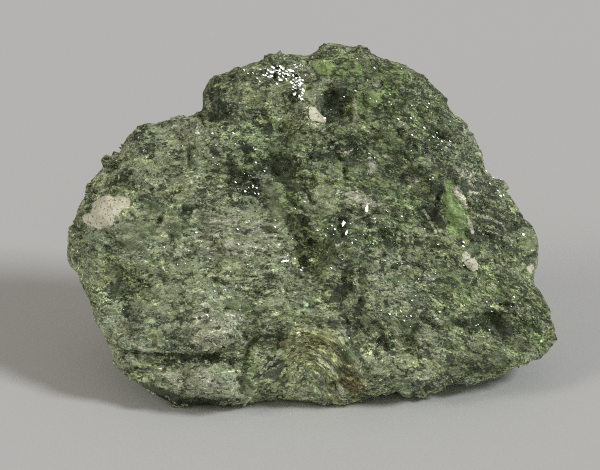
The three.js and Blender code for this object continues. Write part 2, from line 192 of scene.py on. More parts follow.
@dataclass(frozen=True)
class Cells:
    """The rock broken into ragged cells, each with numbers of its own.

    Attributes:
        size: the width of a cell, in millimetres.
        seed: which cells to give.
        stretch: how many times longer a cell is along the banding than across it.
        ragged: how far the cells' borders wander, as a share of their size.
    """

    size: float
    seed: int
    stretch: float = 1.0
    ragged: float = 0.25

    def nearest(self, bands: Array) -> tuple[Array, Array]:
        """Finds the cell of each place.

        Args:
            bands: n rows of banding coordinates, in millimetres.

        Returns:
            The cells' whole numbers and the places' offsets from the cells' middles,
            in millimetres along, across and into the stone, both as rows.
        """
        scale = np.array([self.size * self.stretch, self.size, self.size])
        if self.ragged:
            wander = [swell(bands, 0.9 * self.size, self.seed + 50 + n, 2) for n in range(3)]
            bands = bands + self.ragged * self.size * np.stack(wander, axis=1)
        at = bands / scale
        home = np.floor(at).astype(np.int64)
        gap = np.full(len(at), np.inf)
        cells, offsets = home.copy(), np.zeros_like(at)
        for step in np.ndindex(3, 3, 3):
            cell = home + np.array(step) - 1
            offset = at - cell
            offset -= np.stack([lattice(cell, self.seed + n) for n in range(3)], axis=1)
            far = (offset**2).sum(axis=1)
            closer = far < gap
            gap[closer], cells[closer], offsets[closer] = far[closer], cell[closer], offset[closer]
        return cells, offsets * scale

    def number(self, cells: Array, which: int) -> Array:
        """One of the numbers from 0 to 1 that each cell has of its own."""
        return lattice(cells, self.seed + 10 + which)

    def heights(self, bands: Array, tip: float, jump: float) -> Array:
        """How far each place is raised, if every cell is a plane tipped its own way.

        Args:
            bands: n rows of banding coordinates, in millimetres.
            tip: the slope of a steep cell.
            jump: how far a cell may stand proud or lie low, in millimetres.

        Returns:
            n heights in millimetres.
        """
        cells, offsets = self.nearest(bands)
        ways = np.stack([2.0 * self.number(cells, n) - 1.0 for n in range(3)], axis=1)
        return (ways * offsets).sum(axis=1) * tip + (2.0 * self.number(cells, 3) - 1.0) * jump


# Patches on the face


@dataclass(frozen=True)
class Patch:
    """A ragged oval on the broad face.

    Attributes:
        u: its middle to the right, in millimetres.
        v: its middle up the face, in millimetres.
        long: its half length, in millimetres.
        wide: its half width, in millimetres.
        turn: degrees anticlockwise from u.
        strength: how much of what it carries shows at its middle.
        ragged: how far noise shifts its edge, as a share of its size.
    """

    u: float
    v: float
    long: float
    wide: float
    turn: float = 0.0
    strength: float = 1.0
    ragged: float = 0.45

    def cover(self, places: Array) -> Array:
        """How far each place is inside, before any fading.

        Args:
            places: n rows of u, v and w in millimetres.

        Returns:
            n numbers: 1 at the middle, 0 on the edge and less outside.
        """
        cos, sin = math.cos(math.radians(self.turn)), math.sin(math.radians(self.turn))
        du, dv = places[:, 0] - self.u, places[:, 1] - self.v
        along = (du * cos + dv * sin) / self.long
        across = (dv * cos - du * sin) / self.wide
        shift = self.ragged * swell(places, 0.8 * min(self.long, self.wide) + 0.4, 301, 4)
        return 1.0 - np.hypot(along, across) + shift

    def share(self, places: Array, soft: float = 0.5) -> Array:
        """The patch's strength at each place, faded over its edge.

        Args:
            places: n rows of u, v and w in millimetres.
            soft: the width of the edge, as a share of the patch.

        Returns:
            n numbers from 0 to the patch's strength.
        """
        return self.strength * ease(self.cover(places) / soft + 0.5)


@dataclass(frozen=True)
class Look:
    """How one tone of the rock looks.

    Attributes:
        colour: its linear base colour.
        dust: how much of it is covered with pale sugary flecks, from 0 to 1.
        speck: how much of it is black specks and painted shade in the gaps between grains, from 0
            to 1.
        glitter: how many of its grains show a glassy cleavage face, from 0 to 1.
    """

    colour: tuple[float, float, float]
    dust: float
    speck: float
    glitter: float

    def row(self) -> Array:
        """The look as one row of six numbers."""
        return np.array([*self.colour, self.dust, self.speck, self.glitter])


class Mineral(Enum):
    """The tones of the rock."""

    SAGE = Look((0.365, 0.430, 0.235), 0.50, 0.38, 0.4)
    MIST = Look((0.470, 0.530, 0.335), 0.78, 0.14, 0.25)
    LEAF = Look((0.210, 0.290, 0.105), 0.32, 0.46, 0.5)
    DEEP = Look((0.065, 0.095, 0.034), 0.28, 0.75, 0.9)
    FRESH = Look((0.310, 0.430, 0.155), 0.30, 0.12, 0.3)
    CHALK = Look((0.70, 0.72, 0.52), 0.85, 0.12, 0.1)
    OLIVE = Look((0.640, 0.660, 0.350), 0.30, 0.06, 0.2)
    RUST = Look((0.42, 0.28, 0.08), 0.2, 0.3, 0.1)
    ASH = Look((0.330, 0.380, 0.235), 0.62, 0.55, 0.6)


# Where each tone is strong on the face. Later patches lie over earlier ones.
TONES: tuple[tuple[Mineral, tuple[PatchSizes, ...]], ...] = (
    (Mineral.MIST, ((-13.0, 19.5, 12.0, 8.0, 8, 0.75), (-18.5, 33.0, 7.0, 4.5, 20, 0.85))),
    (Mineral.CHALK, ((-9.5, 22.5, 6.0, 2.6, 0, 0.5), (-16.6, 37.2, 1.8, 1.2, 0, 0.5))),
    (Mineral.MIST, ((-28.0, 30.5, 1.7, 2.2, 50, 0.7),)),
    (Mineral.CHALK, ((-12.6, 10.9, 4.0, 2.5, 10, 0.95),)),
    (Mineral.MIST, ((-25.0, 7.2, 3.0, 3.4, 40, 0.7), (-13.0, 3.6, 5.0, 2.2, -25, 0.85))),
    (Mineral.SAGE, ((-22.0, 25.0, 4.6, 3.6, -10, 0.9),)),
    (Mineral.LEAF, ((10.0, 34.0, 15.0, 13.0, -30, 0.65),)),
    (Mineral.FRESH, ((9.0, 43.0, 9.0, 4.5, -28, 0.35),)),
    (Mineral.LEAF, ((22.0, 11.0, 10.0, 7.0, -20, 0.45), (-24.0, 15.0, 3.2, 2.6, -45, 0.55))),
    # Three of these paint shade: (-12.2, 40.2) on the upper block's shaded left wall, and (-4.4,
    # 32.0) and (2.9, 40.2) in two pits
    (Mineral.DEEP, (
        (-22.0, 34.8, 2.6, 1.9, -40, 0.55), (-24.5, 30.4, 2.8, 1.3, -5, 0.45),
        (-25.4, 14.6, 1.9, 2.6, 20, 0.5), (-4.4, 32.0, 2.4, 1.7, 0, 1.0),
        (-8.4, 28.8, 2.6, 2.2, -50, 0.6), (-9.0, 32.6, 2.6, 2.4, 30, 0.5),
        (-12.2, 40.2, 1.3, 3.0, 12, 0.75), (-7.2, 39.6, 1.2, 2.4, 20, 0.45),
        (2.9, 40.2, 1.9, 2.2, 0, 0.9), (0.8, 24.5, 2.4, 2.2, -30, 0.2),
        (-1.0, 19.5, 2.2, 2.4, 0, 0.2), (4.2, 16.4, 1.2, 2.6, 8, 0.6),
        (4.5, 34.2, 4.6, 1.3, 10, 0.6), (15.6, 25.4, 1.5, 1.9, 20, 0.85),
        (22.8, 25.6, 1.5, 4.6, 20, 0.5), (16.4, 34.4, 3.4, 1.8, -25, 0.5),
        (11.5, 31.0, 2.0, 3.0, 30, 0.4), (9.4, 23.6, 3.0, 1.1, -40, 0.5),
        (13.4, 18.0, 2.4, 1.4, -20, 0.45), (24.6, 11.4, 2.8, 1.6, -20, 0.75),
        (9.8, 8.8, 1.6, 1.4, 0, 0.5), (-15.0, 6.4, 5.6, 0.7, 2, 0.7),
        (-4.6, 5.2, 2.2, 2.2, 20, 0.3), (-16.5, 0.9, 6.4, 1.1, 0, 0.7),
    )),
    (Mineral.FRESH, (
        (19.3, 25.2, 1.5, 3.0, 20, 1.0, 0.3), (-3.6, 27.0, 2.9, 1.8, -10, 0.75),
        (9.8, 41.0, 2.4, 1.8, -60, 0.7), (5.4, 40.0, 0.8, 2.2, -20, 0.6),
        (20.4, 16.4, 4.0, 2.0, -10, 0.45), (-8.0, 7.6, 1.2, 2.8, 15, 0.4),
        (28.6, 22.2, 1.3, 2.4, -20, 0.6),
    )),
    (Mineral.MIST, ((-26.5, 11.5, 4.0, 7.0, 0, 0.35), (-16.0, 3.6, 6.0, 2.4, 0, 0.3))),
    (Mineral.LEAF, ((8.0, 43.5, 9.0, 3.5, -15, 0.2), (-9.0, 39.0, 4.0, 5.0, 0, 0.2))),
    (Mineral.OLIVE, ((2.4, 6.6, 6.0, 3.2, -40, 1.0), (-2.6, 4.0, 4.0, 2.6, -30, 0.35))),
    (Mineral.RUST, (
        (5.1, 3.8, 2.4, 0.9, -55, 0.8, 0.8), (32.0, 12.0, 1.0, 3.4, 10, 0.35, 0.6),
        (-6.1, 2.4, 0.6, 0.3, 0, 0.9, 0.6), (-26.9, 13.3, 0.35, 0.3, 0, 0.9, 0.6),
        (-12.0, 7.4, 0.5, 0.4, 0, 0.5, 0.6),
    )),
    (Mineral.ASH, (
        (17.4, 33.6, 2.6, 3.8, 0, 0.6), (4.4, 27.0, 2.6, 2.6, 0, 0.6),
        (6.0, 13.6, 2.6, 3.2, 0, 0.45),
    )),
    (Mineral.CHALK, (
        (6.4, 27.8, 2.2, 0.6, -12, 0.85, 0.9), (8.0, 32.2, 0.8, 1.1, 0, 0.75, 0.9),
        (21.4, 29.6, 0.8, 2.2, 20, 0.8, 0.6), (15.0, 30.6, 1.4, 0.5, 10, 0.5, 0.9),
    )),
    (Mineral.MIST, (
        (-25.5, 11.0, 3.0, 3.4, 0, 0.75), (-22.0, 22.6, 5.0, 3.4, 0, 0.6),
        (11.0, 5.4, 5.0, 2.4, -10, 0.45), (-30.0, 20.0, 2.2, 4.4, 0, 0.5),
    )),
    (Mineral.CHALK, ((-15.6, 3.6, 5.4, 2.0, -12, 0.6),)),
    (Mineral.LEAF, ((30.6, 12.4, 2.2, 4.4, 10, 0.7),)),
    (Mineral.DEEP, ((13.6, 35.0, 4.6, 3.0, -40, 0.3),)),
    (Mineral.OLIVE, ((-12.6, 10.1, 3.8, 2.2, 0, 0.22),)),
    (Mineral.MIST, ((-12.6, 10.1, 3.8, 2.2, 0, 0.2),)),
    (Mineral.DEEP, ((30.6, 12.5, 2.4, 4.8, 0, 0.22),)),
)


@dataclass(frozen=True)
class Fill:
    """What fills a mark.

    Attributes:
        colour: its linear base colour.
        calm: how far the grain is gone from it, from 0 to 1.
        lift: how far it stands out, in millimetres.
    """

    colour: tuple[float, float, float]
    calm: float
    lift: float


class Stain(Enum):
    """The kinds of mark on the face."""

    SLATE = Fill((0.100, 0.130, 0.070), 0.40, -0.05)
    MOSS = Fill((0.230, 0.300, 0.145), 0.50, 0.00)
    LOBE = Fill((0.380, 0.450, 0.235), 0.40, 0.08)
    LIME = Fill((0.420, 0.600, 0.210), 0.45, 0.14)
    PALE = Fill((0.680, 0.680, 0.500), 0.40, 0.10)
    CREAM = Fill((0.960, 0.930, 0.710), 0.95, 0.00)
    # Painted shade: crevices, grooves and the shadow under the ledge's lip; its lift also cuts them
    # in
    SHADE = Fill((0.020, 0.032, 0.012), 0.50, -0.20)


@dataclass(frozen=True)
class Mark:
    """A mark with a crisp edge: a patch, or a line where it has a half width.

    Attributes:
        points: u and v of each corner, or of each point of the line, in millimetres.
        wide: the line's half width, in millimetres.
    """

    points: tuple[float, ...]
    wide: float = 0.0

    def corners(self) -> Array:
        """The corners or points as rows."""
        return np.array(self.points).reshape(-1, 2)

    def inside(self, places: Array) -> Array:
        """How far each place is inside the mark.

        Args:
            places: n rows of u, v and w in millimetres.

        Returns:
            n distances in millimetres, less than nothing outside.
        """
        at = places[:, :2]
        gap = np.full(len(at), np.inf)
        within = np.zeros(len(at), bool)
        starts = self.corners()
        ends = starts[1:] if self.wide else np.roll(starts, -1, axis=0)
        for start, end in zip(starts, ends):
            way, offset = end - start, at - start
            t = np.clip(offset @ way / (way @ way), 0.0, 1.0)
            gap = np.minimum(gap, np.hypot(*(offset - t[:, None] * way).T))
            crosses = (start[1] > at[:, 1]) != (end[1] > at[:, 1])
            level = start[0] + way[0] * (at[:, 1] - start[1]) / (way[1] or 1e-9)
            within ^= crosses & (at[:, 0] < level)
        return self.wide - gap if self.wide else np.where(within, gap, -gap)


MARKS: dict[Stain, tuple[Mark, ...]] = {
    Stain.SLATE: (
        Mark((-6.6, 4.0, -5.8, 5.0, -4.7, 5.2, -3.9, 6.6, -3.5, 5.9, -4.2, 4.3, -3.1, 2.6,
            -3.9, 2.9, -4.8, 3.9)),
        Mark((-26.1, 17.4, -25.7, 17.7, -25.1, 16.6, -24.2, 16.0, -25.4, 14.8, -26.7, 14.5,
            -27.8, 15.7)),
        Mark((-25.1, 14.0, -24.3, 13.3, -22.3, 12.1, -22.3, 11.2, -24.1, 11.5, -25.3, 12.5)),
        Mark((3.1, 8.6, 4.2, 7.5, 5.4, 5.9), 0.14),
        Mark((-4.0, 30.2, -2.6, 30.4, -1.5, 29.5, -1.8, 28.8, -3.1, 28.8)),
        Mark((28.3, 19.4, 28.8, 20.5, 30.0, 21.0, 30.4, 20.0, 29.9, 19.3, 29.0, 18.9)),
        Mark((2.3, 12.1, 3.5, 12.1, 3.8, 10.9, 2.9, 10.3, 2.2, 11.2)),
        # Painted shade: the next four marks darken two pits and the shaded left wall of the upper
        # block
        Mark((0.6, 41.6, 2.5, 41.8, 4.6, 41.2, 4.2, 39.3, 3.5, 38.1, 2.5, 38.3, 1.4, 39.6,
            0.5, 40.4)),
        Mark((-15.1, 40.8, -14.0, 43.6, -13.6, 43.0, -13.9, 41.6, -14.3, 39.9, -14.8, 38.5,
            -15.2, 38.8)),
        Mark((-13.2, 42.0, -12.3, 42.2, -12.1, 40.4, -12.4, 39.1, -13.1, 39.9)),
        Mark((-6.4, 33.0, -4.7, 33.2, -2.3, 33.2, -2.2, 31.6, -3.1, 30.3, -4.2, 29.9, -5.8, 30.7)),
        Mark((21.2, 30.0, 22.3, 30.3, 23.3, 29.8, 25.0, 29.0, 24.2, 28.4, 22.3, 29.1)),
        Mark((23.4, 11.7, 25.0, 12.0, 26.9, 11.2, 26.6, 9.1, 25.0, 8.7, 23.7, 9.9)),
        Mark((15.7, 29.9, 17.2, 30.3, 17.6, 29.0, 17.2, 27.9, 16.0, 28.4)),
        Mark((0.9, 33.6, 3.5, 33.5, 5.4, 33.2, 5.9, 31.9, 4.6, 32.2, 1.8, 33.0)),
    ),
    Stain.MOSS: (
        Mark((-2.5, 6.0, -1.3, 5.6, 0.1, 4.8, 1.9, 3.0), 0.18),
        Mark((-1.5, 4.6, 0.1, 3.5, 2.2, 1.7), 0.15),
        Mark((-25.4, 24.7, -23.4, 24.9, -21.2, 24.7, -20.5, 23.7, -21.4, 22.5, -23.4, 22.6,
            -25.3, 23.4)),
        Mark((-22.3, 27.5, -20.4, 27.4, -20.0, 26.1, -21.8, 25.7)),
        Mark((4.0, 8.6, 5.4, 7.9, 6.2, 6.4, 5.0, 5.9, 3.9, 7.2)),
        Mark((-19.7, 24.9, -18.1, 24.9, -17.0, 23.9, -17.3, 22.5, -18.8, 22.9, -19.8, 23.7)),
        Mark((-22.7, 15.7, -21.2, 16.4, -20.0, 15.5, -20.5, 14.5, -22.5, 14.7)),
        Mark((-12.0, 14.4, -9.5, 14.7, -8.0, 14.0, -8.2, 12.8, -10.0, 12.4, -11.3, 13.5)),
        Mark((10.5, 17.2, 11.6, 17.8, 13.1, 17.3, 12.4, 16.5, 10.9, 16.6)),
        Mark((-9.7, 3.8, -9.0, 4.6, -8.0, 3.8, -7.2, 2.2, -8.2, 1.5, -9.2, 2.1)),
        Mark((20.0, 21.2, 21.0, 21.9, 21.9, 21.6, 22.5, 20.8, 21.4, 20.4, 20.8, 20.8)),
        Mark((-25.4, 22.6, -23.5, 22.3, -22.9, 21.3, -24.1, 20.6, -25.4, 21.3)),
        Mark((10.1, 29.0, 11.7, 29.2, 12.3, 28.1, 11.2, 27.7, 10.1, 28.2)),
        Mark((11.7, 11.5, 14.1, 11.5, 14.4, 10.1, 12.8, 9.6, 11.7, 10.4)),
        Mark((23.7, 7.5, 25.7, 7.6, 25.8, 6.2, 24.2, 5.9)),
        Mark((17.6, 6.2, 19.7, 6.4, 20.0, 4.8, 17.8, 4.6)),
        Mark((2.5, 31.9, 3.8, 31.6, 4.0, 30.6, 3.0, 30.6, 1.9, 31.1)),
        Mark((0.1, 7.8, 2.6, 6.0, 4.7, 4.1), 0.12), Mark((-0.8, 7.0, 1.4, 5.2, 3.4, 3.2), 0.12),
    ),
    Stain.LOBE: (
        Mark((-6.6, 29.5, -5.2, 29.9, -3.8, 29.0, -3.5, 27.7, -4.6, 26.7, -6.0, 27.1, -6.7, 28.2)),
        Mark((-1.5, 27.8, -0.5, 27.8, -0.1, 26.9, -0.9, 26.2, -1.4, 27.0)),
        Mark((0.9, 29.5, 2.2, 29.9, 3.4, 28.4, 3.1, 25.8, 1.5, 25.4, -0.2, 26.3, 0.1, 27.9)),
        Mark((-27.4, 19.0, -25.7, 19.6, -25.3, 17.6, -26.2, 16.5, -27.3, 17.4)),
        Mark((-22.7, 32.2, -21.9, 33.0, -20.4, 32.8, -19.2, 32.2, -19.7, 31.4, -21.4, 31.2)),
        Mark((1.1, 15.1, 1.7, 15.7, 2.5, 14.8, 1.8, 14.3)),
        Mark((-6.0, 26.7, -4.2, 26.9, -2.9, 26.1, -3.4, 24.7, -5.2, 24.7, -6.6, 25.5)),
        Mark((28.1, 24.2, 29.5, 23.9, 30.0, 22.1, 29.5, 20.8, 28.2, 21.0, 27.7, 22.6)),
        Mark((-21.7, 10.9, -20.4, 10.4, -19.3, 9.4, -20.4, 8.6, -21.9, 9.4)),
        Mark((-16.6, 19.4, -15.8, 19.4, -15.6, 18.4, -16.4, 17.6, -17.4, 18.4)),
    ),
    Stain.LIME: (
        Mark((17.6, 30.0, 18.2, 30.3, 19.0, 29.5, 18.6, 28.7, 19.4, 27.7, 20.1, 26.7, 20.5, 25.9,
            20.6, 24.5, 20.2, 23.0, 19.7, 22.3, 18.6, 22.7, 18.1, 23.7, 18.5, 24.7, 17.8, 25.3,
            18.0, 26.1, 18.2, 26.3, 18.0, 26.9, 17.2, 27.4, 17.0, 28.2, 17.8, 28.8)),
        Mark((-0.2, 46.2, 1.4, 46.5, 3.0, 45.7, 2.5, 44.1, 0.9, 44.4)),
        Mark((7.2, 42.2, 9.1, 42.0, 9.4, 40.6, 8.0, 40.1, 7.2, 41.2)),
    ),
    Stain.PALE: (
        Mark((22.0, 25.5, 24.0, 25.1, 26.2, 24.1), 0.16),
        Mark((22.2, 23.8, 24.4, 23.4, 26.8, 22.4), 0.16),
        Mark((4.4, 28.4, 5.4, 28.8, 6.7, 28.6, 7.4, 28.1, 7.4, 27.0, 6.4, 27.3, 5.1, 27.7)),
        Mark((7.6, 33.0, 8.3, 32.8, 8.3, 31.4, 7.8, 31.5)),
        Mark((19.0, 29.5, 19.8, 29.4, 20.4, 28.2, 20.8, 26.6, 20.1, 26.7, 19.3, 27.9, 18.5, 29.0)),
        Mark((-1.5, 1.8, -0.3, 1.4, -0.3, 0.9, -1.1, 1.0)),
        Mark((2.7, 2.3, 4.0, 2.7, 4.7, 1.8, 3.2, 1.5)),
        Mark((-10.4, 2.7, -9.4, 2.7, -9.1, 1.7, -10.3, 1.4)),
        Mark((14.4, 4.2, 16.2, 4.6, 15.8, 3.9, 14.5, 3.6)),
        Mark((-14.1, 40.9, -13.5, 41.0, -13.1, 39.6, -13.9, 39.2)),
        Mark((19.0, 32.3, 20.0, 31.9, 20.8, 30.8, 20.1, 30.7, 19.3, 31.4)),
        Mark((-6.8, 4.7, -5.5, 5.9, -3.6, 7.5), 0.16),
        Mark((-7.4, 9.6, -6.2, 10.0, -4.6, 10.0), 0.15),
        Mark((4.6, 27.5, 5.9, 27.0, 7.4, 26.7), 0.14),
        Mark((14.9, 26.5, 15.8, 24.7, 16.5, 23.3), 0.14),
        Mark((2.6, 34.7, 3.5, 34.0, 4.7, 33.9, 5.5, 34.3), 0.15),
        Mark((-0.3, 37.9, 1.4, 37.1, 2.5, 36.3, 3.4, 35.3), 0.2),
        Mark((5.6, 41.3, 5.8, 39.3, 5.6, 37.9), 0.22),
        Mark((-20.5, 23.5, -19.4, 24.7, -17.7, 24.9), 0.14),
        Mark((-3.6, 1.3, -2.9, 1.8, -1.8, 1.9, -0.9, 1.3), 0.16),
        # Painted highlight: a pale line along the lit top of the ledge's lip
        Mark((-23.7, 8.4, -21.7, 7.6, -19.4, 7.5, -14.8, 7.6, -12.7, 8.3, -10.5, 8.7,
            -8.3, 8.8), 0.2),
        Mark((-1.8, 9.7, 0.6, 8.0, 2.9, 5.9), 0.09), Mark((-2.2, 6.0, 0.0, 4.2, 2.1, 2.1), 0.09),
        Mark((0.9, 6.4, 2.5, 5.3, 3.5, 4.3), 0.08), Mark((-1.8, 10.4, -0.5, 10.5, 0.6, 10.7), 0.14),
        Mark((-10.4, 41.7, -10.4, 39.3), 0.13), Mark((-15.3, 6.4, -14.3, 4.8, -13.1, 3.2), 0.15),
        Mark((-14.0, 6.2, -12.9, 5.1), 0.14), Mark((14.4, 8.8, 15.5, 7.8, 16.5, 6.7), 0.15),
        Mark((20.9, 30.6, 21.2, 29.0, 21.0, 27.7), 0.14),
        Mark((-20.1, 14.1, -17.4, 14.4, -15.1, 14.7), 0.13), Mark((-13.2, 14.4, -11.3, 14.7), 0.13),
    ),
    Stain.CREAM: (
        Mark((-27.5, 28.3, -24.2, 28.0, -24.0, 27.0, -25.1, 26.4, -26.0, 25.4, -26.5, 24.2,
            -28.2, 23.7, -29.4, 24.2, -30.5, 24.8, -30.5, 25.7, -29.4, 26.0, -29.1, 27.4)),
        Mark((-0.3, 40.1, 0.5, 40.0, 2.2, 38.1, 1.9, 37.9, -0.1, 38.3, -0.4, 39.2)),
        Mark((20.0, 20.6, 20.5, 20.9, 21.2, 20.2, 20.5, 19.6, 20.0, 19.4)),
        Mark((20.3, 19.3, 20.9, 19.8, 21.7, 20.0, 22.2, 19.3, 22.2, 18.4, 21.5, 18.1, 20.9, 18.5)),
        Mark((28.7, 18.6, 29.6, 19.2, 29.9, 18.6, 29.4, 17.7, 29.0, 18.1)),
        Mark((20.6, 25.8, 20.9, 25.5, 21.3, 24.7, 21.7, 23.4, 21.6, 22.9, 21.2, 23.3, 20.9, 24.2)),
    ),
    # Painted shade in crevices and grooves, and the shadow under the ledge's lip
    Stain.SHADE: (
        Mark((-21.4, 7.3, -17.5, 7.2, -14.8, 7.2, -12.7, 7.5, -11.6, 7.3, -12.6, 6.8, -16.0, 6.7,
            -16.8, 6.1, -17.4, 6.1, -17.7, 6.7, -20.0, 6.9)),
        Mark((21.0, 29.3, 22.9, 28.7, 24.3, 27.9), 0.2),
        Mark((21.8, 26.1, 23.7, 25.8, 25.7, 24.7, 26.6, 23.4), 0.2),
        Mark((22.3, 24.7, 24.3, 24.5, 25.8, 23.4), 0.18),
        Mark((21.8, 22.9, 23.9, 22.6, 26.3, 21.6, 27.6, 20.2), 0.18),
        Mark((23.1, 27.0, 24.7, 26.3, 26.1, 25.3), 0.18),
        Mark((-8.7, 7.8, -8.8, 8.3, -7.9, 9.0, -7.6, 9.7, -7.1, 9.5, -7.0, 9.0, -7.8, 8.3)),
        Mark((-23.8, 3.8, -21.4, 3.0, -19.4, 2.5, -16.8, 1.5, -14.8, 1.4, -12.4, 1.0, -12.1, 0.3,
            -14.8, 0.1, -16.8, 0.5, -18.8, 0.9, -20.4, 1.3, -21.7, 2.3)),
        Mark((2.5, 14.8, 3.2, 16.0, 5.1, 16.9, 5.4, 15.7, 4.4, 14.8, 3.5, 14.1, 2.2, 14.1)),
        Mark((6.3, 14.8, 7.0, 14.9, 7.2, 13.9, 6.7, 13.3, 6.2, 14.0)),
        Mark((9.6, 21.9, 10.3, 22.3, 11.2, 22.2, 11.3, 21.6, 10.4, 21.0, 9.7, 21.4)),
        Mark((13.5, 22.1, 14.7, 22.2, 14.9, 21.4, 14.1, 21.4)),
        Mark((15.1, 27.5, 16.0, 26.9, 17.0, 25.7, 18.0, 24.2, 17.3, 23.8, 16.5, 24.5, 15.7, 25.8)),
        Mark((-2.1, 25.8, -1.5, 25.8, -0.3, 24.5, -0.7, 23.9, -1.8, 25.0)),
        Mark((21.2, 28.3, 22.6, 28.3, 23.5, 27.8, 22.1, 27.8)),
        Mark((22.3, 25.4, 23.7, 25.0, 24.6, 24.2, 23.4, 24.3)),
        Mark((19.8, 30.6, 20.5, 30.2, 20.9, 29.0, 20.4, 28.1, 19.8, 29.0)),
        Mark((20.4, 23.5, 21.0, 23.4, 21.3, 22.6, 20.6, 22.6)),
        Mark((17.8, 6.6, 18.6, 7.2, 19.2, 6.6, 18.6, 5.8, 18.0, 6.0)),
        Mark((14.7, 2.6, 15.3, 3.4, 16.1, 2.5, 15.5, 1.9)),
        Mark((9.4, 8.0, 9.9, 8.6, 10.8, 7.6, 11.6, 7.5, 10.9, 6.8, 9.9, 7.5)),
        Mark((21.3, 11.9, 22.1, 12.1, 22.5, 10.4, 21.8, 9.9, 21.2, 10.9)),
        Mark((-5.9, 38.1, -5.4, 38.0, -4.8, 36.5, -5.8, 36.3, -6.7, 36.5)),
        Mark((-13.7, 34.8, -12.7, 34.5, -12.0, 33.4, -13.1, 33.6)),
        Mark((-9.5, 35.3, -8.7, 35.5, -8.0, 34.5, -8.6, 33.9, -9.4, 34.5)),
        Mark((-14.1, 39.9, -13.1, 39.3, -11.9, 38.5, -12.4, 37.7, -13.7, 38.5)),
        Mark((22.3, 20.6, 21.4, 20.2, 20.1, 19.2, 21.0, 18.4, 21.8, 18.0), 0.14),
        Mark((21.4, 29.9, 23.0, 29.8, 24.5, 29.2), 0.16),
        Mark((22.1, 27.0, 23.7, 26.7, 25.3, 26.1, 26.6, 25.5), 0.16),
        Mark((22.3, 23.9, 23.9, 23.7, 25.7, 23.0), 0.15),
        Mark((22.9, 22.3, 25.0, 21.9, 26.9, 21.0), 0.14),
        Mark((21.0, 17.0, 18.4, 16.5, 17.0, 16.8), 0.14),
        Mark((5.6, 12.4, 6.4, 11.1, 7.6, 9.6), 0.16),
        Mark((-12.4, 42.8, -12.3, 41.2, -12.4, 39.3), 0.18),
        Mark((17.6, 5.5, 18.4, 5.5, 19.2, 5.6), 0.14),
        Mark((-6.8, 9.5, -5.5, 9.6, -3.8, 9.7), 0.14),
        Mark((-20.1, 4.8, -19.4, 5.4, -18.9, 5.9), 0.14),
        Mark((-17.4, 11.5, -16.1, 11.7, -14.8, 12.1), 0.14),
        Mark((-20.1, 11.2, -18.8, 11.5, -17.2, 12.0), 0.14),
        Mark((-11.9, 6.4, -10.7, 5.9, -10.0, 4.8, -9.7, 3.8), 0.14),
        Mark((10.8, 6.2, 11.5, 5.4, 12.8, 4.6), 0.14),
        Mark((-19.3, 9.5, -18.5, 9.9, -17.2, 11.2), 0.16),
        Mark((-12.8, 16.8, -10.5, 16.6, -8.4, 16.4), 0.13), Mark((-6.6, 27.9, -5.5, 27.9), 0.14),
    ),
}


# How far past a mark its distance is still measured, in millimetres, and how much a place
# has to belong to the broad face to be marked
MARK_EDGE = 1.2
MARKED_FACE = 0.15


def stains_at(places: Array, face: Array) -> dict[Stain, Array]:
    """How far each place is inside the nearest mark of each kind.

    Args:
        places: n rows of u, v and w in millimetres.
        face: how much each place belongs to the broad face.

    Returns:
        For each kind n distances in millimetres, and -1 far outside and off the face.
    """
    depths = {}
    for stain in Stain:
        depth = np.full(len(places), -1.0)
        for mark in MARKS[stain]:
            corners = mark.corners()
            near = (places[:, :2] > corners.min(axis=0) - MARK_EDGE).all(axis=1)
            near &= (places[:, :2] < corners.max(axis=0) + MARK_EDGE).all(axis=1)
            near &= face > MARKED_FACE
            depth[near] = np.maximum(depth[near], mark.inside(places[near]))
        depths[stain] = np.minimum(depth, 1.0)
    return depths


# The rim of the broad face: how far a place may face away from it, how soon it belongs to
# it wholly, how deep in the stone it fades, and over what depth, in millimetres
FACE_TURNED = 0.15
FACE_SOON = 0.4
FACE_DEEP = 12.0
FACE_FADE = 4.0


def on_face(places: Array, normals: Array) -> Array:
    """How much each place belongs to the broad face, and not to the sides or the back.

    Args:
        places: n rows of u, v and w in millimetres.
        normals: n rows of unit normals in the row frame.

    Returns:
        n numbers from 0 to 1.
    """
    towards = -normals @ FACE.axes()[2]
    turned = ease((towards + FACE_TURNED) / FACE_SOON)
    return turned * ease((FACE_DEEP - places[:, 2]) / FACE_FADE)


@dataclass
class Tones:
    """The rock's tones at a set of places.

    Attributes:
        colour: n rows of linear red, green and blue.
        dust: n numbers from 0 to 1, how much pale sugar lies on each place.
        speck: n numbers from 0 to 1, how many black specks and gaps of painted shade it has.
        glitter: n numbers from 0 to 1, how many glassy faces it has.
        crisp: for each crisp mineral, n numbers from 0 to 1, how much of it is there.
    """

    colour: Array
    dust: Array
    speck: Array
    glitter: Array
    crisp: dict[Mineral, Array]


# The minerals that lie in islands with crisp edges, which the finish draws
CRISP = (Mineral.DEEP, Mineral.FRESH, Mineral.CHALK)


@dataclass(frozen=True)
class Cloud:
    """A tone that lies over the whole stone in soft clouds.

    Attributes:
        mineral: the tone.
        size: the width of the clouds, in millimetres.
        seed: which clouds, and the same for the tones that take turns.
        gain: how sharply they begin, or less than 0 for the places between them.
        start: how dense a cloud has to be to show.
        least: the tone's share outside them.
        added: what is added to it inside them.
    """

    mineral: Mineral
    size: float
    seed: int
    gain: float
    start: float
    least: float
    added: float

    def share(self, bands: Array) -> Array:
        """How much of each place it covers.

        Args:
            bands: n rows of banding coordinates, in millimetres.

        Returns:
            n numbers from 0 to 1.
        """
        dense = self.gain * swell(bands, self.size, self.seed, 4) - self.start
        return self.least + self.added * ease(dense)


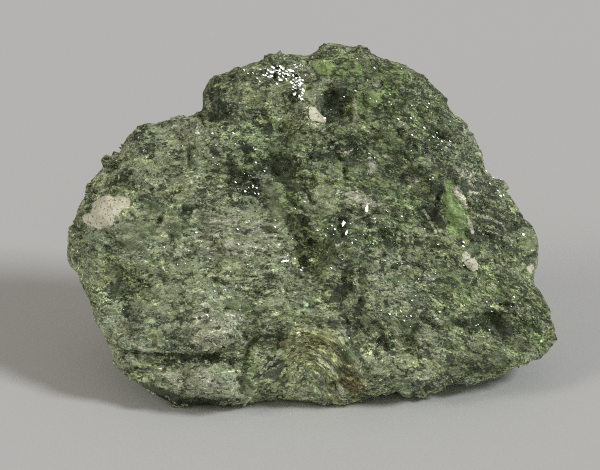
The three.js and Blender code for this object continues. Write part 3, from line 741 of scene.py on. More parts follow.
CLOUDS: tuple[Cloud, ...] = (
    Cloud(Mineral.MIST, 10.0, 401, 1.2, 0.1, 0.0, 0.6),
    Cloud(Mineral.LEAF, 10.0, 401, -1.2, 0.1, 0.0, 0.6),
    Cloud(Mineral.DEEP, 3.4, 433, 1.4, 0.6, 0.05, 0.20),
    Cloud(Mineral.CHALK, 3.4, 433, -1.4, 0.6, 0.05, 0.18),
)

# Cells whose own lightness varies, each with how much
SHADED_CELLS = ((Cells(3.1, 811, 1.3, 0.35), 0.09), (Cells(1.35, 841, 1.5, 0.35), 0.10))

# How much redder and bluer a cell may be, and how much its dust and its specks may vary
WARMTH = (0.04, 0.0, -0.10)
DUST_SPREAD = 0.25
SPECK_SPREAD = 0.30

# How much lighter and greener the rock is than its mixed tones
BRIGHTENED = (1.03, 1.06, 1.04)

# Painted light: the broad face is painted paler towards its lower left and darker towards its upper
# right: by how much, and over how many millimetres
PAINTED_LIGHT_GAIN = 0.19
PAINTED_LIGHT_REACH = 28.0
PAINTED_LIGHT_MIDDLE = 20.0  # u + v where nothing is changed
PAINTED_LIGHT_MOST = 1.1  # where the change stops, as a share of the gain


class Mixture:
    """The looks at a set of places, as one tone after another is laid over them."""

    def __init__(self, count: int) -> None:
        """Starts with plain sage rock.

        Args:
            count: the number of places.
        """
        self.looks = np.tile(Mineral.SAGE.value.row(), (count, 1))
        self.crisp = {mineral: np.zeros(count) for mineral in CRISP}

    def lay(self, mineral: Mineral, share: Array) -> None:
        """Lays one tone over what is there.

        Args:
            mineral: the tone.
            share: how much of each place it covers, from 0 to 1.
        """
        for other, shares in self.crisp.items():
            shares *= 1.0 - share
            if other is mineral:
                shares += share
        if mineral not in self.crisp:
            self.looks += (mineral.value.row() - self.looks) * share[:, None]


def tones_at(points: Array, normals: Array) -> Tones:
    """Mixes the rock's tones at each place.

    Args:
        points: n rows of the row frame, in millimetres.
        normals: n rows of unit normals in the row frame.

    Returns:
        The tones at the points.
    """
    places = FACE.of(points)
    bands = FACE.banding(places)
    face = on_face(places, normals)
    mixture = Mixture(len(points))
    for cloud in CLOUDS:
        mixture.lay(cloud.mineral, cloud.share(bands))
    for mineral, rows in TONES:
        for row in rows:
            mixture.lay(mineral, Patch(*row).share(places) * face)
    looks = mixture.looks
    for cells, depth in SHADED_CELLS:
        home, _ = cells.nearest(bands)
        level, warm, clean, black = (cells.number(home, n) for n in range(4, 8))
        looks[:, :3] *= (1.0 + depth * (2.0 * level - 1.0))[:, None]
        looks[:, :3] *= 1.0 + np.outer(2.0 * warm - 1.0, WARMTH)
        looks[:, 3] += DUST_SPREAD * (clean - 0.5)
        looks[:, 4] += SPECK_SPREAD * (black - 0.5)
    # Painted light: paler towards the lower left of the broad face, darker towards its upper right
    slant = (PAINTED_LIGHT_MIDDLE - places[:, 0] - places[:, 1]) / PAINTED_LIGHT_REACH
    slant = np.clip(slant, -PAINTED_LIGHT_MOST, PAINTED_LIGHT_MOST)
    looks[:, :3] *= (1.0 + PAINTED_LIGHT_GAIN * slant * face)[:, None] * np.array(BRIGHTENED)
    looks = np.clip(looks, 0.0, 1.0)
    return Tones(looks[:, :3], looks[:, 3], looks[:, 4], looks[:, 5], mixture.crisp)


# Forms of the face


@dataclass(frozen=True)
class Lip:
    """A broken edge along a line: the stone stands proud on one side of it.

    Attributes:
        line: its points, u and v in millimetres.
        proud: how far the edge stands out, in millimetres.
        cut: how far the stone under it is cut in, in millimetres.
        reach: how far from the line the stone is shaped, in millimetres.
        side: 1 if the proud side is to the left of the line, and -1 if to the right.
        ends: the length over which the lip dies away at its ends, in millimetres.
        wander: how far the line strays, in millimetres.
        edge: the width of the step between the proud side and the cut, in millimetres.
    """

    line: tuple[tuple[float, float], ...]
    proud: float
    cut: float
    reach: tuple[float, float] = (1.6, 1.2)
    side: int = 1
    ends: float = 2.5
    wander: float = 0.3
    edge: float = 0.3

    def heights(self, places: Array) -> Array:
        """How far each place is raised.

        Args:
            places: n rows of u, v and w in millimetres.

        Returns:
            n heights in millimetres.
        """
        wander = [self.wander * swell(places, 2.2, 521 + n, 3) for n in range(2)]
        at = places[:, :2] + np.stack(wander, axis=1)
        gap, signed, run = np.full(len(at), np.inf), np.zeros(len(at)), np.zeros(len(at))
        gone = 0.0
        for start, end in zip(self.line, self.line[1:]):
            way = np.array(end) - np.array(start)
            length = float(np.hypot(*way))
            offset = at - np.array(start)
            t = np.clip(offset @ way / length**2, 0.0, 1.0)
            near = np.hypot(*(offset - t[:, None] * way).T)
            turn = np.sign(way[0] * offset[:, 1] - way[1] * offset[:, 0])
            closer = near < gap
            gap[closer], signed[closer] = near[closer], (turn * near)[closer]
            run[closer] = gone + t[closer] * length
            gone += length
        signed *= self.side
        fade = ease(run / self.ends) * ease((gone - run) / self.ends)
        step = signed / self.edge
        up = self.proud * np.exp(-((signed / self.reach[0]) ** 2)) * ease(step + 0.5)
        down = self.cut * np.exp(-((signed / self.reach[1]) ** 2)) * ease(0.5 - step)
        return (up - down) * fade


LIPS: tuple[Lip, ...] = (
    Lip(((-28.0, 8.6), (-25.5, 7.8), (-23.3, 7.5), (-18.1, 7.4), (-13.3, 7.5), (-11.5, 8.2),
        (-8.6, 9.4)), 0.40, 0.85, (1.8, 0.8)),
    Lip(((-9.5, 8.6), (-6.7, 10.3), (-4.2, 10.1), (-0.9, 9.9), (2.5, 8.6), (5.4, 6.2),
        (7.0, 3.1)), 0.22, 0.35, (1.4, 1.6)),
    Lip(((-8.6, 3.4), (-7.2, 4.8), (-5.2, 6.4), (-3.4, 7.6)), 0.30, 0.35, (1.0, 1.2)),
    Lip(((-1.4, 8.6), (1.2, 5.6), (3.2, 3.2), (4.2, 1.0)), 0.2, 0.3, (1.0, 1.2), 1),
    Lip(((-14.9, 45.0), (-15.0, 38.5), (-14.4, 35.2), (-13.4, 33.8)), 0.2, 0.8, (2.0, 1.4), -1),
    Lip(((-13.4, 34.0), (-9.0, 34.6), (-5.0, 32.4), (-2.0, 29.0), (-1.4, 21.0), (2.0, 16.6),
        (5.0, 14.6)), 0.25, 0.3, (1.4, 1.4), 1, 4.0),
    Lip(((17.3, 30.4), (18.2, 28.0), (20.4, 25.2), (21.4, 22.2)), 0.25, 0.5, (1.2, 1.0), -1),
    Lip(((0.8, 41.4), (3.0, 42.6), (5.0, 41.0), (5.4, 38.0)), 0.2, 0.5, (1.2, 1.2), 1),
)

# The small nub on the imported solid's right rim, which stands out too far by its strength
NUB = Patch(26.6, 29.6, 1.5, 1.5, 0.0, 0.7, 0.2)

# Hollows and lumps of the face. A patch's strength is how far it is raised, in millimetres.
RISES: tuple[PatchSizes, ...] = (
    (-4.2, 32.0, 2.4, 1.8, 0, -0.6, 0.3), (2.6, 39.8, 2.2, 1.9, 0, -0.7, 0.2),
    (4.4, 16.5, 1.3, 2.4, 10, -0.7, 0.3), (15.8, 25.2, 1.7, 2.0, 20, -0.8, 0.3),
    (23.7, 11.1, 2.8, 1.7, -20, -0.6, 0.3), (-4.4, 5.1, 2.4, 2.2, 20, -0.4, 0.3),
    (29.2, 20.0, 0.8, 0.6, 0, -0.5, 0.3), (-8.4, 28.8, 1.8, 1.4, -50, -0.5, 0.3),
    (-24.5, 30.2, 2.6, 1.1, -5, -0.4, 0.3), (9.4, 23.6, 2.6, 0.9, -40, -0.4, 0.3),
    (-12.8, 10.6, 4.4, 2.6, 8, 0.7, 0.2), (-13.0, 3.6, 5.0, 2.2, -20, 0.5, 0.3),
    (19.3, 25.2, 1.4, 3.0, 20, 0.6, 0.2), (20.9, 19.4, 1.5, 1.1, -36, 0.35, 0.2),
    (9.8, 41.0, 2.6, 2.0, -60, 0.4, 0.3), (-22.6, 31.8, 2.8, 1.2, 5, 0.4, 0.3),
)


# Mesh helpers


def faces_of(mesh: bpy.types.Mesh) -> Array:
    """The vertex numbers of each triangle of an all-triangle mesh, as rows."""
    corners = np.empty(len(mesh.loops), np.int32)
    mesh.loops.foreach_get("vertex_index", corners)
    return corners.reshape(-1, 3)


def points_of(mesh: bpy.types.Mesh) -> Array:
    """The vertices of a mesh in millimetres, as rows."""
    flat = np.empty(3 * len(mesh.vertices))
    mesh.vertices.foreach_get("co", flat)
    return flat.reshape(-1, 3) / MM


def make_mesh(name: str, points: Array, faces: Array) -> bpy.types.Mesh:
    """Makes a triangle mesh.

    Args:
        name: the mesh's name.
        points: its vertices in millimetres, as rows.
        faces: the vertex numbers of its triangles, as rows.

    Returns:
        The new mesh, in metres.
    """
    mesh = bpy.data.meshes.new(name)
    mesh.vertices.add(len(points))
    mesh.vertices.foreach_set("co", (points * MM).astype(np.float32).ravel())
    mesh.loops.add(faces.size)
    mesh.loops.foreach_set("vertex_index", faces.astype(np.int32).ravel())
    mesh.polygons.add(len(faces))
    mesh.polygons.foreach_set("loop_start", np.arange(0, faces.size, 3, dtype=np.int32))
    mesh.update(calc_edges=True)
    return mesh


def normals_of(points: Array, faces: Array) -> Array:
    """The smooth unit normal at each vertex.

    Args:
        points: the vertices, as rows.
        faces: the triangles, as rows.

    Returns:
        One row for each vertex.
    """
    a, b, c = (points[faces[:, n]] for n in range(3))
    facing = np.cross(b - a, c - a)
    total = np.zeros_like(points)
    for n in range(3):
        for axis in range(3):
            total[:, axis] += np.bincount(faces[:, n], facing[:, axis], len(points))
    return total / np.maximum(np.linalg.norm(total, axis=1), 1e-12)[:, None]


def edges_of(faces: Array) -> Array:
    """Each edge of a closed triangle net once in each direction, as rows."""
    return np.concatenate([faces[:, [0, 1]], faces[:, [1, 2]], faces[:, [2, 0]]])


def smoothed(values: Array, edges: Array, rounds: int, share: float = 0.5) -> Array:
    """Moves each vertex's value towards the mean of its neighbours.

    Args:
        values: one row or number for each vertex.
        edges: the net's edges in both directions, as rows.
        rounds: how many times this is done.
        share: how far each value moves.

    Returns:
        The smoothed values.
    """
    values = values.reshape(len(values), -1).copy()
    count = np.maximum(np.bincount(edges[:, 0], minlength=len(values)), 1)
    for _ in range(rounds):
        for column in range(values.shape[1]):
            line = values[:, column]
            mean = np.bincount(edges[:, 0], line[edges[:, 1]], len(values)) / count
            values[:, column] = line + (mean - line) * share
    return values if values.shape[1] > 1 else values[:, 0]


def store(mesh: bpy.types.Mesh, name: str, values: Array) -> None:
    """Stores a number or three on each vertex.

    Args:
        mesh: the mesh.
        name: the attribute's name.
        values: one number or one row of three for each vertex.
    """
    if values.ndim == 1:
        numbers = mesh.attributes.new(name, "FLOAT", "POINT")
        numbers.data.foreach_set("value", values.astype(np.float32))
    else:
        vectors = mesh.attributes.new(name, "FLOAT_VECTOR", "POINT")
        vectors.data.foreach_set("vector", values.astype(np.float32).ravel())


# Finishes


@dataclass(frozen=True)
class Noise:
    """A fractal noise.

    Attributes:
        size: the width of its largest swells.
        detail: how many finer swells are added.
        rough: how strong the finer swells are.
        seed: which noise it is.
    """

    size: float
    detail: float
    rough: float
    seed: float


@dataclass(frozen=True)
class Rise:
    """A smooth rise of one number with another.

    Attributes:
        reading: the readings where it begins and ends.
        given: what is given before and after it.
    """

    reading: Span = (0.0, 1.0)
    given: Span = (0.0, 1.0)


@dataclass(frozen=True)
class Level:
    """A level that what is stored on the mesh sets, and what is given past it.

    Attributes:
        name: under what name the mesh stores it.
        starts: the level where what is stored is 0, and where it is 1.
        soft: the width of the edge.
        most: what is given past the level.
    """

    name: str
    starts: Span
    soft: float
    most: float


class NodeSheet:
    """A small helper that lays out one material's nodes."""

    def __init__(self, name: str) -> None:
        """Makes an empty material.

        Args:
            name: the material's name.
        """
        self.material = bpy.data.materials.new(name)
        self.material.use_nodes = True
        self.tree = self.material.node_tree
        self.tree.nodes.clear()

    def add(self, kind: str, inputs: Inputs | None = None, **settings: object) -> bpy.types.Node:
        """Adds a node.

        Args:
            kind: its Blender type, without the ShaderNode in front.
            inputs: what goes into its sockets: a value, or another node's output.
            settings: its other properties.

        Returns:
            The new node.
        """
        node = self.tree.nodes.new("ShaderNode" + kind)
        for key, value in settings.items():
            setattr(node, key, value)
        for key, value in (inputs or {}).items():
            if isinstance(value, Socket):
                self.tree.links.new(value, node.inputs[key])
            else:
                node.inputs[key].default_value = value
        return node

    def read(self, name: str, output: str = "Fac") -> Socket:
        """What is stored on the mesh under a name."""
        return self.add("Attribute", attribute_name=name).outputs[output]

    def ramp(self, source: Socket, rise: Rise) -> Socket:
        """Lets one number rise with another.

        Args:
            source: what is read.
            rise: how it rises.

        Returns:
            The output socket.
        """
        values = {"Value": source, "From Min": rise.reading[0], "From Max": rise.reading[1]}
        values |= {"To Min": rise.given[0], "To Max": rise.given[1]}
        return self.add("MapRange", values, interpolation_type="SMOOTHSTEP").outputs["Result"]

    def mix(self, share: object, first: object, second: object, how: str = "MIX") -> Socket:
        """Mixes two colours.

        Args:
            share: how much of the second shows.
            first: the colour underneath.
            second: the colour laid over it.
            how: how it is laid.

        Returns:
            The mixed colour's socket.
        """
        inputs = {0: share, 6: first, 7: second}
        return self.add("Mix", inputs, data_type="RGBA", blend_type=how).outputs[2]

    def between(self, share: object, first: object, second: object) -> Socket:
        """The first number where the share is 0, and the second where it is 1."""
        return self.add("Mix", {0: share, 2: first, 3: second}).outputs[0]

    def math(self, operation: str, *values: object) -> Socket:
        """One arithmetic step on numbers."""
        return self.add("Math", dict(enumerate(values)), operation=operation).outputs[0]

    def times(self, first: object, second: object) -> Socket:
        """The product of two numbers."""
        return self.math("MULTIPLY", first, second)

    def plus(self, value: object, share: object, base: object) -> Socket:
        """A base with a share of a value added."""
        return self.math("MULTIPLY_ADD", value, share, base)

    def most(self, first: object, second: object) -> Socket:
        """The larger of two numbers."""
        return self.math("MAXIMUM", first, second)

    def vector(self, operation: str, *values: object) -> bpy.types.Node:
        """One step on vectors."""
        return self.add("VectorMath", dict(enumerate(values)), operation=operation)

    def scaled(self, place: Socket, shares: tuple[float, float, float]) -> Socket:
        """A place with each of its coordinates multiplied by a share."""
        return self.vector("MULTIPLY", place, shares).outputs[0]

    def grey(self, level: Socket) -> Socket:
        """A grey of a given level."""
        return self.add("CombineColor", {n: level for n in range(3)}).outputs["Color"]

    def noise(self, place: Socket, noise: Noise, output: str = "Fac") -> Socket:
        """Fractal noise.

        Args:
            place: where it is read.
            noise: the noise.
            output: Fac for one number a place, or Color for three.

        Returns:
            The output socket.
        """
        start = (noise.seed, 1.7 * noise.seed, 0.3 * noise.seed)
        moved = self.vector("ADD", place, start).outputs[0]
        inputs = {"Vector": moved, "Scale": 1.0 / noise.size}
        inputs |= {"Detail": noise.detail, "Roughness": noise.rough}
        return self.add("TexNoise", inputs).outputs[output]

    def ragged(self, place: Socket, noise: Noise, far: float) -> Socket:
        """Shifts places by noise, so that what is drawn there has ragged edges.

        Args:
            place: the places.
            noise: the noise.
            far: how far it shifts a place.

        Returns:
            The shifted places' socket.
        """
        shift = self.noise(place, noise, "Color")
        shift = self.vector("SUBTRACT", shift, (0.5, 0.5, 0.5)).outputs[0]
        return self.vector("MULTIPLY_ADD", shift, (far, far, far), place).outputs[0]

    def cells(self, place: Socket, size: float) -> tuple[bpy.types.Node, Socket]:
        """Cells with a flat tipped face each.

        Args:
            place: where they are read.
            size: the width of a cell.

        Returns:
            The cells' own random numbers as a separated colour, and the height of the
            tipped faces in the place's units for a slope of 1.
        """
        cell = self.add("TexVoronoi", {"Vector": place, "Scale": 1.0 / size})
        ways = self.vector("SUBTRACT", cell.outputs["Color"], (0.5, 0.5, 0.5)).outputs[0]
        offset = self.vector("SUBTRACT", place, cell.outputs["Position"]).outputs[0]
        height = self.vector("DOT_PRODUCT", offset, ways).outputs["Value"]
        return self.add("SeparateColor", {"Color": cell.outputs["Color"]}), height

    def seams(self, place: Socket, size: float, wide: float) -> Socket:
        """The seams between cells.

        Args:
            place: where they are read.
            size: the width of a cell.
            wide: the half width of a seam.

        Returns:
            A socket that is 1 on the seams and 0 beside them.
        """
        inputs = {"Vector": place, "Scale": 1.0 / size}
        gap = self.add("TexVoronoi", inputs, feature="DISTANCE_TO_EDGE").outputs["Distance"]
        return self.ramp(gap, Rise((0.5 * wide / size, wide / size), (1.0, 0.0)))

    def finish(self, inputs: Inputs) -> bpy.types.Material:
        """Closes the sheet with a principled shader.

        Args:
            inputs: what goes into the shader's sockets.

        Returns:
            The material.
        """
        shader = self.add("BsdfPrincipled", inputs)
        output = self.add("OutputMaterial", {"Surface": shader.outputs["BSDF"]})
        output.is_active_output = True
        return self.material


@dataclass(frozen=True)
class StoneFinish:
    """The finish of the stone: grains, pale sugar, black specks with painted shade in the gaps, and
    glassy faces.

    Attributes:
        grain: the widths of the fine, small, large and huge grains, in millimetres.
        slope: how steeply the faces of the first three are tipped.
        light: the darkest and the lightest of each, as a factor on the tone: partly the grains' own
            tone, partly painted light, the shade and sheen of their facets.
        stretch: how many times longer a grain is along the banding than across it.
        flow: the same for cracks and gaps.
        thread: the same for the fine threads along the banding.
        wander: how far the marks' edges wander, in millimetres.
        steady: how much of that the cream patches' edges wander.
        crisp: the rise over a crisp edge.
        edge: the noise of the marks' edges.
        near: the noise that makes small things ragged, and how far it shifts them.
        broad: the same for larger grains.
        bent: the same for the fine seams.
        islands: the noise of each crisp mineral's islands.
        shore: the least and the greatest that the noise of the islands reaches.
        cloud: the noise of the soft clouds.
        threads: the noise of the threads.
        flecks: the noise of the pale flecks.
        pores: the noise of the black gaps.
        cracked: the noise that says where the seams are open.
        dots: the noise of the dark dots in the cream patches.
        lively: what huge grains, large grains, deep and fresh minerals add to the contrast.
        contrast: how strong the fine grains' lightness is, by that.
        cloudy: how light the clouds are.
        threaded: how light the threads are.
        tinted: how much of another mineral's colour a grain takes on, by its number.
        dusty: what fine grains, huge grains and deep mineral add to the flecks.
        dusted: where the flecks show, and how strongly.
        porous: what fine and huge grains add to the gaps.
        pored: where the gaps show, and how strongly.
        seam: the fine seams' spacing and the half width of all seams, in millimetres.
        opened: where the seams show, and how strongly.
        shaded: how strongly the marks of painted shade show.
        hollow_shade: painted shade in the hollows, how dark by their depth.
        dotted: how light the cream patches are, by the dots.
        milky: how light they are, by the clouds.
        glassy: what glitter and deep mineral take off a glassy grain's number.
        gloss: the roughness of glassy faces and of the rest.
        matt: the roughness of the cream patches.
        raised: how high flecks, gaps and chalk stand, in millimetres.
        smooth: how much of the fine relief is gone in the calm marks.
        sugar: the colour of the pale flecks.
        gap: the colour of the black specks and of the painted shade in gaps and cracks.
        refraction: the mineral's index of refraction.
    """

    grain: tuple[float, float, float, float] = (0.19, 0.38, 0.90, 2.2)
    slope: tuple[float, float, float] = (0.9, 0.9, 0.6)
    light: tuple[tuple[float, float], ...] = ((0.25, 2.1), (0.6, 1.45), (0.8, 1.2), (0.8, 1.2))
    stretch: float = 1.6
    flow: float = 2.2
    thread: float = 5.0
    wander: float = 1.1
    steady: float = 0.5
    crisp: Rise = Rise((-0.03, 0.03))
    edge: Noise = Noise(0.45, 4.0, 0.65, 53.0)
    near: tuple[Noise, float] = (Noise(0.6, 3.0, 0.6, 3.0), 0.6)
    broad: tuple[Noise, float] = (Noise(1.8, 3.0, 0.6, 5.0), 2.2)
    bent: tuple[Noise, float] = (Noise(0.7, 3.0, 0.6, 19.0), 0.4)
    islands: tuple[Noise, Noise, Noise] = (
        Noise(1.5, 5.0, 0.62, 61.0), Noise(2.2, 5.0, 0.62, 67.0), Noise(1.1, 5.0, 0.62, 71.0))
    shore: tuple[float, float] = (0.36, 0.64)
    cloud: Noise = Noise(1.4, 7.0, 0.75, 11.0)
    threads: Noise = Noise(0.5, 4.0, 0.6, 97.0)
    flecks: Noise = Noise(0.7, 6.0, 0.82, 23.0)
    pores: Noise = Noise(0.36, 4.0, 0.7, 37.0)
    cracked: Noise = Noise(1.0, 4.0, 0.65, 91.0)
    dots: Noise = Noise(0.3, 2.0, 0.5, 29.0)
    lively: tuple[float, float, float, float] = (0.6, 0.4, 0.5, -0.35)
    contrast: Rise = Rise((0.3, 0.6), (0.2, 1.0))
    cloudy: Rise = Rise((0.38, 0.62), (0.88, 1.12))
    threaded: Rise = Rise((0.46, 0.54), (0.74, 1.26))
    tinted: Rise = Rise((0.55, 0.9), (0.0, 0.3))
    dusty: tuple[float, float, float] = (0.12, 0.10, -0.05)
    dusted: Level = Level("dust", (0.74, 0.58), 0.02, 0.8)
    porous: tuple[float, float] = (0.06, 0.11)
    pored: Level = Level("speck", (0.74, 0.60), 0.02, 0.85)
    seam: tuple[float, float] = (0.7, 0.10)
    opened: Level = Level("speck", (0.58, 0.44), 0.03, 0.85)
    shaded: float = 0.88
    hollow_shade: Rise = Rise((0.3, 1.0), (0.0, 0.5))
    dotted: Rise = Rise((0.59, 0.64), (1.0, 0.35))
    milky: Rise = Rise((0.36, 0.64), (0.92, 1.06))
    glassy: tuple[float, float] = (-0.3, -0.25)
    gloss: Rise = Rise((0.0, 0.1), (0.14, 0.50))
    matt: float = 0.6
    raised: tuple[float, float, float] = (0.04, -0.06, 0.04)
    smooth: float = 0.85
    sugar: tuple[float, float, float, float] = (0.66, 0.72, 0.46, 1.0)
    gap: tuple[float, float, float, float] = (0.032, 0.050, 0.018, 1.0)
    refraction: float = 1.68

    def build(self) -> bpy.types.Material:
        """Makes the material.

        Returns:
            The material.
        """
        sheet = StoneSheet(self)
        dust, dark = sheet.dust(), sheet.dark()
        colour = sheet.mix(dust, sheet.tones(), self.sugar)
        colour = sheet.mix(dark, colour, self.gap)
        colour = sheet.mix(sheet.marks[Stain.CREAM], colour, sheet.cream())
        inputs = {"Base Color": colour, "Roughness": sheet.roughness()}
        return sheet.finish(inputs | {"Normal": sheet.relief(dust, dark), "IOR": self.refraction})


class StoneSheet(NodeSheet):
    """The nodes of the stone's finish, with the sockets that its layers share."""

    def __init__(self, look: StoneFinish) -> None:
        """Lays out the grains, the minerals and the marks.

        Args:
            look: the finish.
        """
        super().__init__("granular_diopside")
        self.look = look
        self.raw = self.read("bands", "Vector")
        edge = self.plus(self.noise(self.raw, look.edge), look.wander, -0.5 * look.wander)
        self.marks = {stain: self.mark(stain, edge) for stain in Stain}
        self.calm = 0.0
        for stain, mask in self.marks.items():
            self.calm = self.most(self.calm, self.times(mask, stain.value.calm))
        self.busy = self.math("SUBTRACT", 1.0, self.calm)
        self.bands = self.along(look.stretch)
        near = self.ragged(self.bands, *look.near)
        self.broad = self.ragged(self.bands, *look.broad)
        places = (near, near, self.broad, self.broad)
        pairs = [self.cells(place, size) for place, size in zip(places, look.grain)]
        self.fine, self.small, self.large, self.huge = (cell.outputs for cell, _ in pairs)
        self.tips = tuple(tip for _, tip in pairs[:3])
        self.islands = {
            mineral: self.island(place, mineral, noise)
            for place, mineral, noise in zip((self.bands, self.bands, near), CRISP, look.islands)
        }
        self.deep, self.fresh, self.chalk = self.islands.values()
        self.cloud = self.noise(self.bands, look.cloud)

    def along(self, times: float) -> Socket:
        """The banding coordinates, for things that many times longer along the banding."""
        return self.scaled(self.raw, (1.0 / times, 1.0, 1.0))

    def island(self, place: Socket, mineral: Mineral, noise: Noise) -> Socket:
        """Where a mineral shows that lies in ragged islands with crisp edges.

        Args:
            place: the places.
            mineral: which mineral.
            noise: the noise that shapes the islands.

        Returns:
            A socket that is 1 on the islands and 0 beside them.
        """
        least, greatest = self.look.shore
        inputs = {"Value": self.noise(place, noise), "From Min": least, "From Max": greatest}
        level = self.add("MapRange", inputs).outputs["Result"]
        share = self.math("SUBTRACT", self.read(mineral.name.lower()), level)
        return self.ramp(share, self.look.crisp)

    def mark(self, stain: Stain, edge: Socket) -> Socket:
        """Where the marks of one kind show.

        Args:
            stain: the kind.
            edge: how far the marks' edges wander, in millimetres.

        Returns:
            A socket that is 1 on the marks and 0 beside them.
        """
        share = self.look.steady if stain is Stain.CREAM else 1.0
        depth = self.plus(edge, share, self.read(stain.name.lower()))
        return self.ramp(depth, self.look.crisp)

    def above(self, value: Socket, level: Level) -> Socket:
        """Where a value passes a level.

        Args:
            value: the value.
            level: the level.

        Returns:
            A socket from 0 to what the level gives past it.
        """
        start = self.ramp(self.read(level.name), Rise(given=level.starts))
        end = self.math("ADD", start, level.soft)
        return self.ramp(value, Rise((start, end), (0.0, level.most)))

    def summed(self, base: object, parts: tuple[Socket, ...], shares: tuple[float, ...]) -> Socket:
        """A base with a share of each part added to it, one after another.

        Args:
            base: the base.
            parts: the parts.
            shares: the share of each.

        Returns:
            The sum's socket.
        """
        for part, share in zip(parts, shares):
            base = self.plus(part, share, base)
        return base

    def lightness(self) -> Socket:
        """How light each grain is: partly its own tone, partly painted light, the shade and sheen
        of its facet.

        Returns:
            A socket with a factor on the tone.
        """
        look = self.look
        parts = (self.huge["Green"], self.large["Green"], self.deep, self.fresh)
        lively = self.summed(0.0, parts, look.lively)
        # Partly painted light: each fine grain is painted lighter or darker, as the shade and sheen
        # of its facet
        fine = self.ramp(self.fine["Red"], Rise(given=look.light[0]))
        level = self.between(self.ramp(lively, look.contrast), 1.0, fine)
        level = self.times(level, self.ramp(self.cloud, look.cloudy))
        thread = self.noise(self.along(look.thread), look.threads)
        level = self.times(level, self.ramp(thread, look.threaded))
        for cell, span in zip((self.small, self.large, self.huge), look.light[1:]):
            level = self.times(level, self.ramp(cell["Red"], Rise(given=span)))
        return self.between(self.calm, level, 1.0)

    def tones(self) -> Socket:
        """Colours the grains, the minerals and the marks.

        Returns:
            The colour's socket.
        """
        base = self.read("tint", "Color")
        tints = (Mineral.FRESH, Mineral.OLIVE, Mineral.LEAF)
        for cell, mineral in zip((self.fine, self.small, self.large), tints):
            share = self.ramp(cell["Blue"], self.look.tinted)
            base = self.mix(share, base, (*mineral.value.colour, 1.0))
        for mineral, share in self.islands.items():
            base = self.mix(share, base, (*mineral.value.colour, 1.0))
        for stain in (Stain.SLATE, Stain.MOSS, Stain.LOBE, Stain.LIME, Stain.PALE):
            base = self.mix(self.marks[stain], base, (*stain.value.colour, 1.0))
        return self.mix(1.0, base, self.grey(self.lightness()), "MULTIPLY")

    def dust(self) -> Socket:
        """Where the pale sugary flecks lie.

        Returns:
            A socket with their share.
        """
        fleck = self.noise(self.bands, self.look.flecks)
        parts = (self.fine["Green"], self.huge["Green"], self.deep)
        fleck = self.summed(fleck, parts, self.look.dusty)
        return self.times(self.above(fleck, self.look.dusted), self.busy)

    def dark(self) -> Socket:
        """Where the black specks are, and the painted shade in gaps, cracks and hollows.

        Returns:
            A socket with their share.
        """
        look = self.look
        long = self.along(look.flow)
        parts = (self.fine["Blue"], self.huge["Blue"])
        # Black specks, and painted shade in the gaps and cracks between the grains
        gap = self.above(self.summed(self.noise(long, look.pores), parts, look.porous), look.pored)
        spacing, wide = look.seam
        seams = self.seams(self.ragged(long, *look.bent), spacing, wide)
        crack = self.most(seams, self.seams(self.broad, look.grain[2], wide))
        crack = self.times(crack, self.above(self.noise(self.bands, look.cracked), look.opened))
        dark = self.times(self.most(gap, crack), self.busy)
        # The marks of painted shade
        dark = self.most(dark, self.times(self.marks[Stain.SHADE], look.shaded))
        # Painted shade in the hollows, by their depth
        return self.most(dark, self.ramp(self.read("hollow"), look.hollow_shade))

    def cream(self) -> Socket:
        """Colours the cream patches.

        Returns:
            The colour's socket.
        """
        dots = self.ramp(self.noise(self.raw, self.look.dots), self.look.dotted)
        white = self.grey(self.times(self.ramp(self.cloud, self.look.milky), dots))
        return self.mix(1.0, (*Stain.CREAM.value.colour, 1.0), white, "MULTIPLY")

    def roughness(self) -> Socket:
        """How rough each place is: a few grains show a glassy face.

        Returns:
            The roughness's socket.
        """
        parts = (self.read("glitter"), self.deep)
        luck = self.summed(self.small["Blue"], parts, self.look.glassy)
        rough = self.ramp(luck, self.look.gloss)
        return self.most(rough, self.times(self.marks[Stain.CREAM], self.look.matt))

    def relief(self, dust: Socket, dark: Socket) -> Socket:
        """The fine relief that is too small for the net.

        Args:
            dust: where the pale flecks lie.
            dark: where the gaps are.

        Returns:
            The bumped normal's socket.
        """
        height = self.summed(0.0, self.tips, self.look.slope)
        height = self.summed(height, (dust, dark, self.chalk), self.look.raised)
        height = self.times(height, self.plus(self.calm, -self.look.smooth, 1.0))
        inputs = {"Strength": 1.0, "Distance": 1.0, "Height": self.times(height, MM)}
        return self.add("Bump", inputs).outputs["Normal"]


@dataclass(frozen=True)
class GlassFinish:
    """The finish of the glassy plates: smooth dark green crystal.

    Attributes:
        colour: its linear colour.
        rough: its roughness.
        mottle: the noise that makes it lighter and darker.
        mottled: how much of the lighter colour shows, by the mottle.
        span: the darkest and the lightest, as factors on the colour.
        refraction: the mineral's index of refraction.
    """

    colour: tuple[float, float, float] = (0.10, 0.15, 0.06)
    rough: float = 0.12
    mottle: Noise = Noise(0.5, 2.0, 0.5, 0.0)
    mottled: Rise = Rise((0.4, 0.6))
    span: tuple[float, float] = (0.7, 1.3)
    refraction: float = 1.68

    def build(self) -> bpy.types.Material:
        """Makes the material.

        Returns:
            The material.
        """
        sheet = NodeSheet("glassy_diopside")
        place = sheet.scaled(sheet.add("TexCoord").outputs["Object"], (1.0 / MM,) * 3)
        share = sheet.ramp(sheet.noise(place, self.mottle), self.mottled)
        dark, light = ((*(level * part for part in self.colour), 1.0) for level in self.span)
        inputs = {"Base Color": sheet.mix(share, dark, light)}
        return sheet.finish(inputs | {"Roughness": self.rough, "IOR": self.refraction})


# The body of the stone


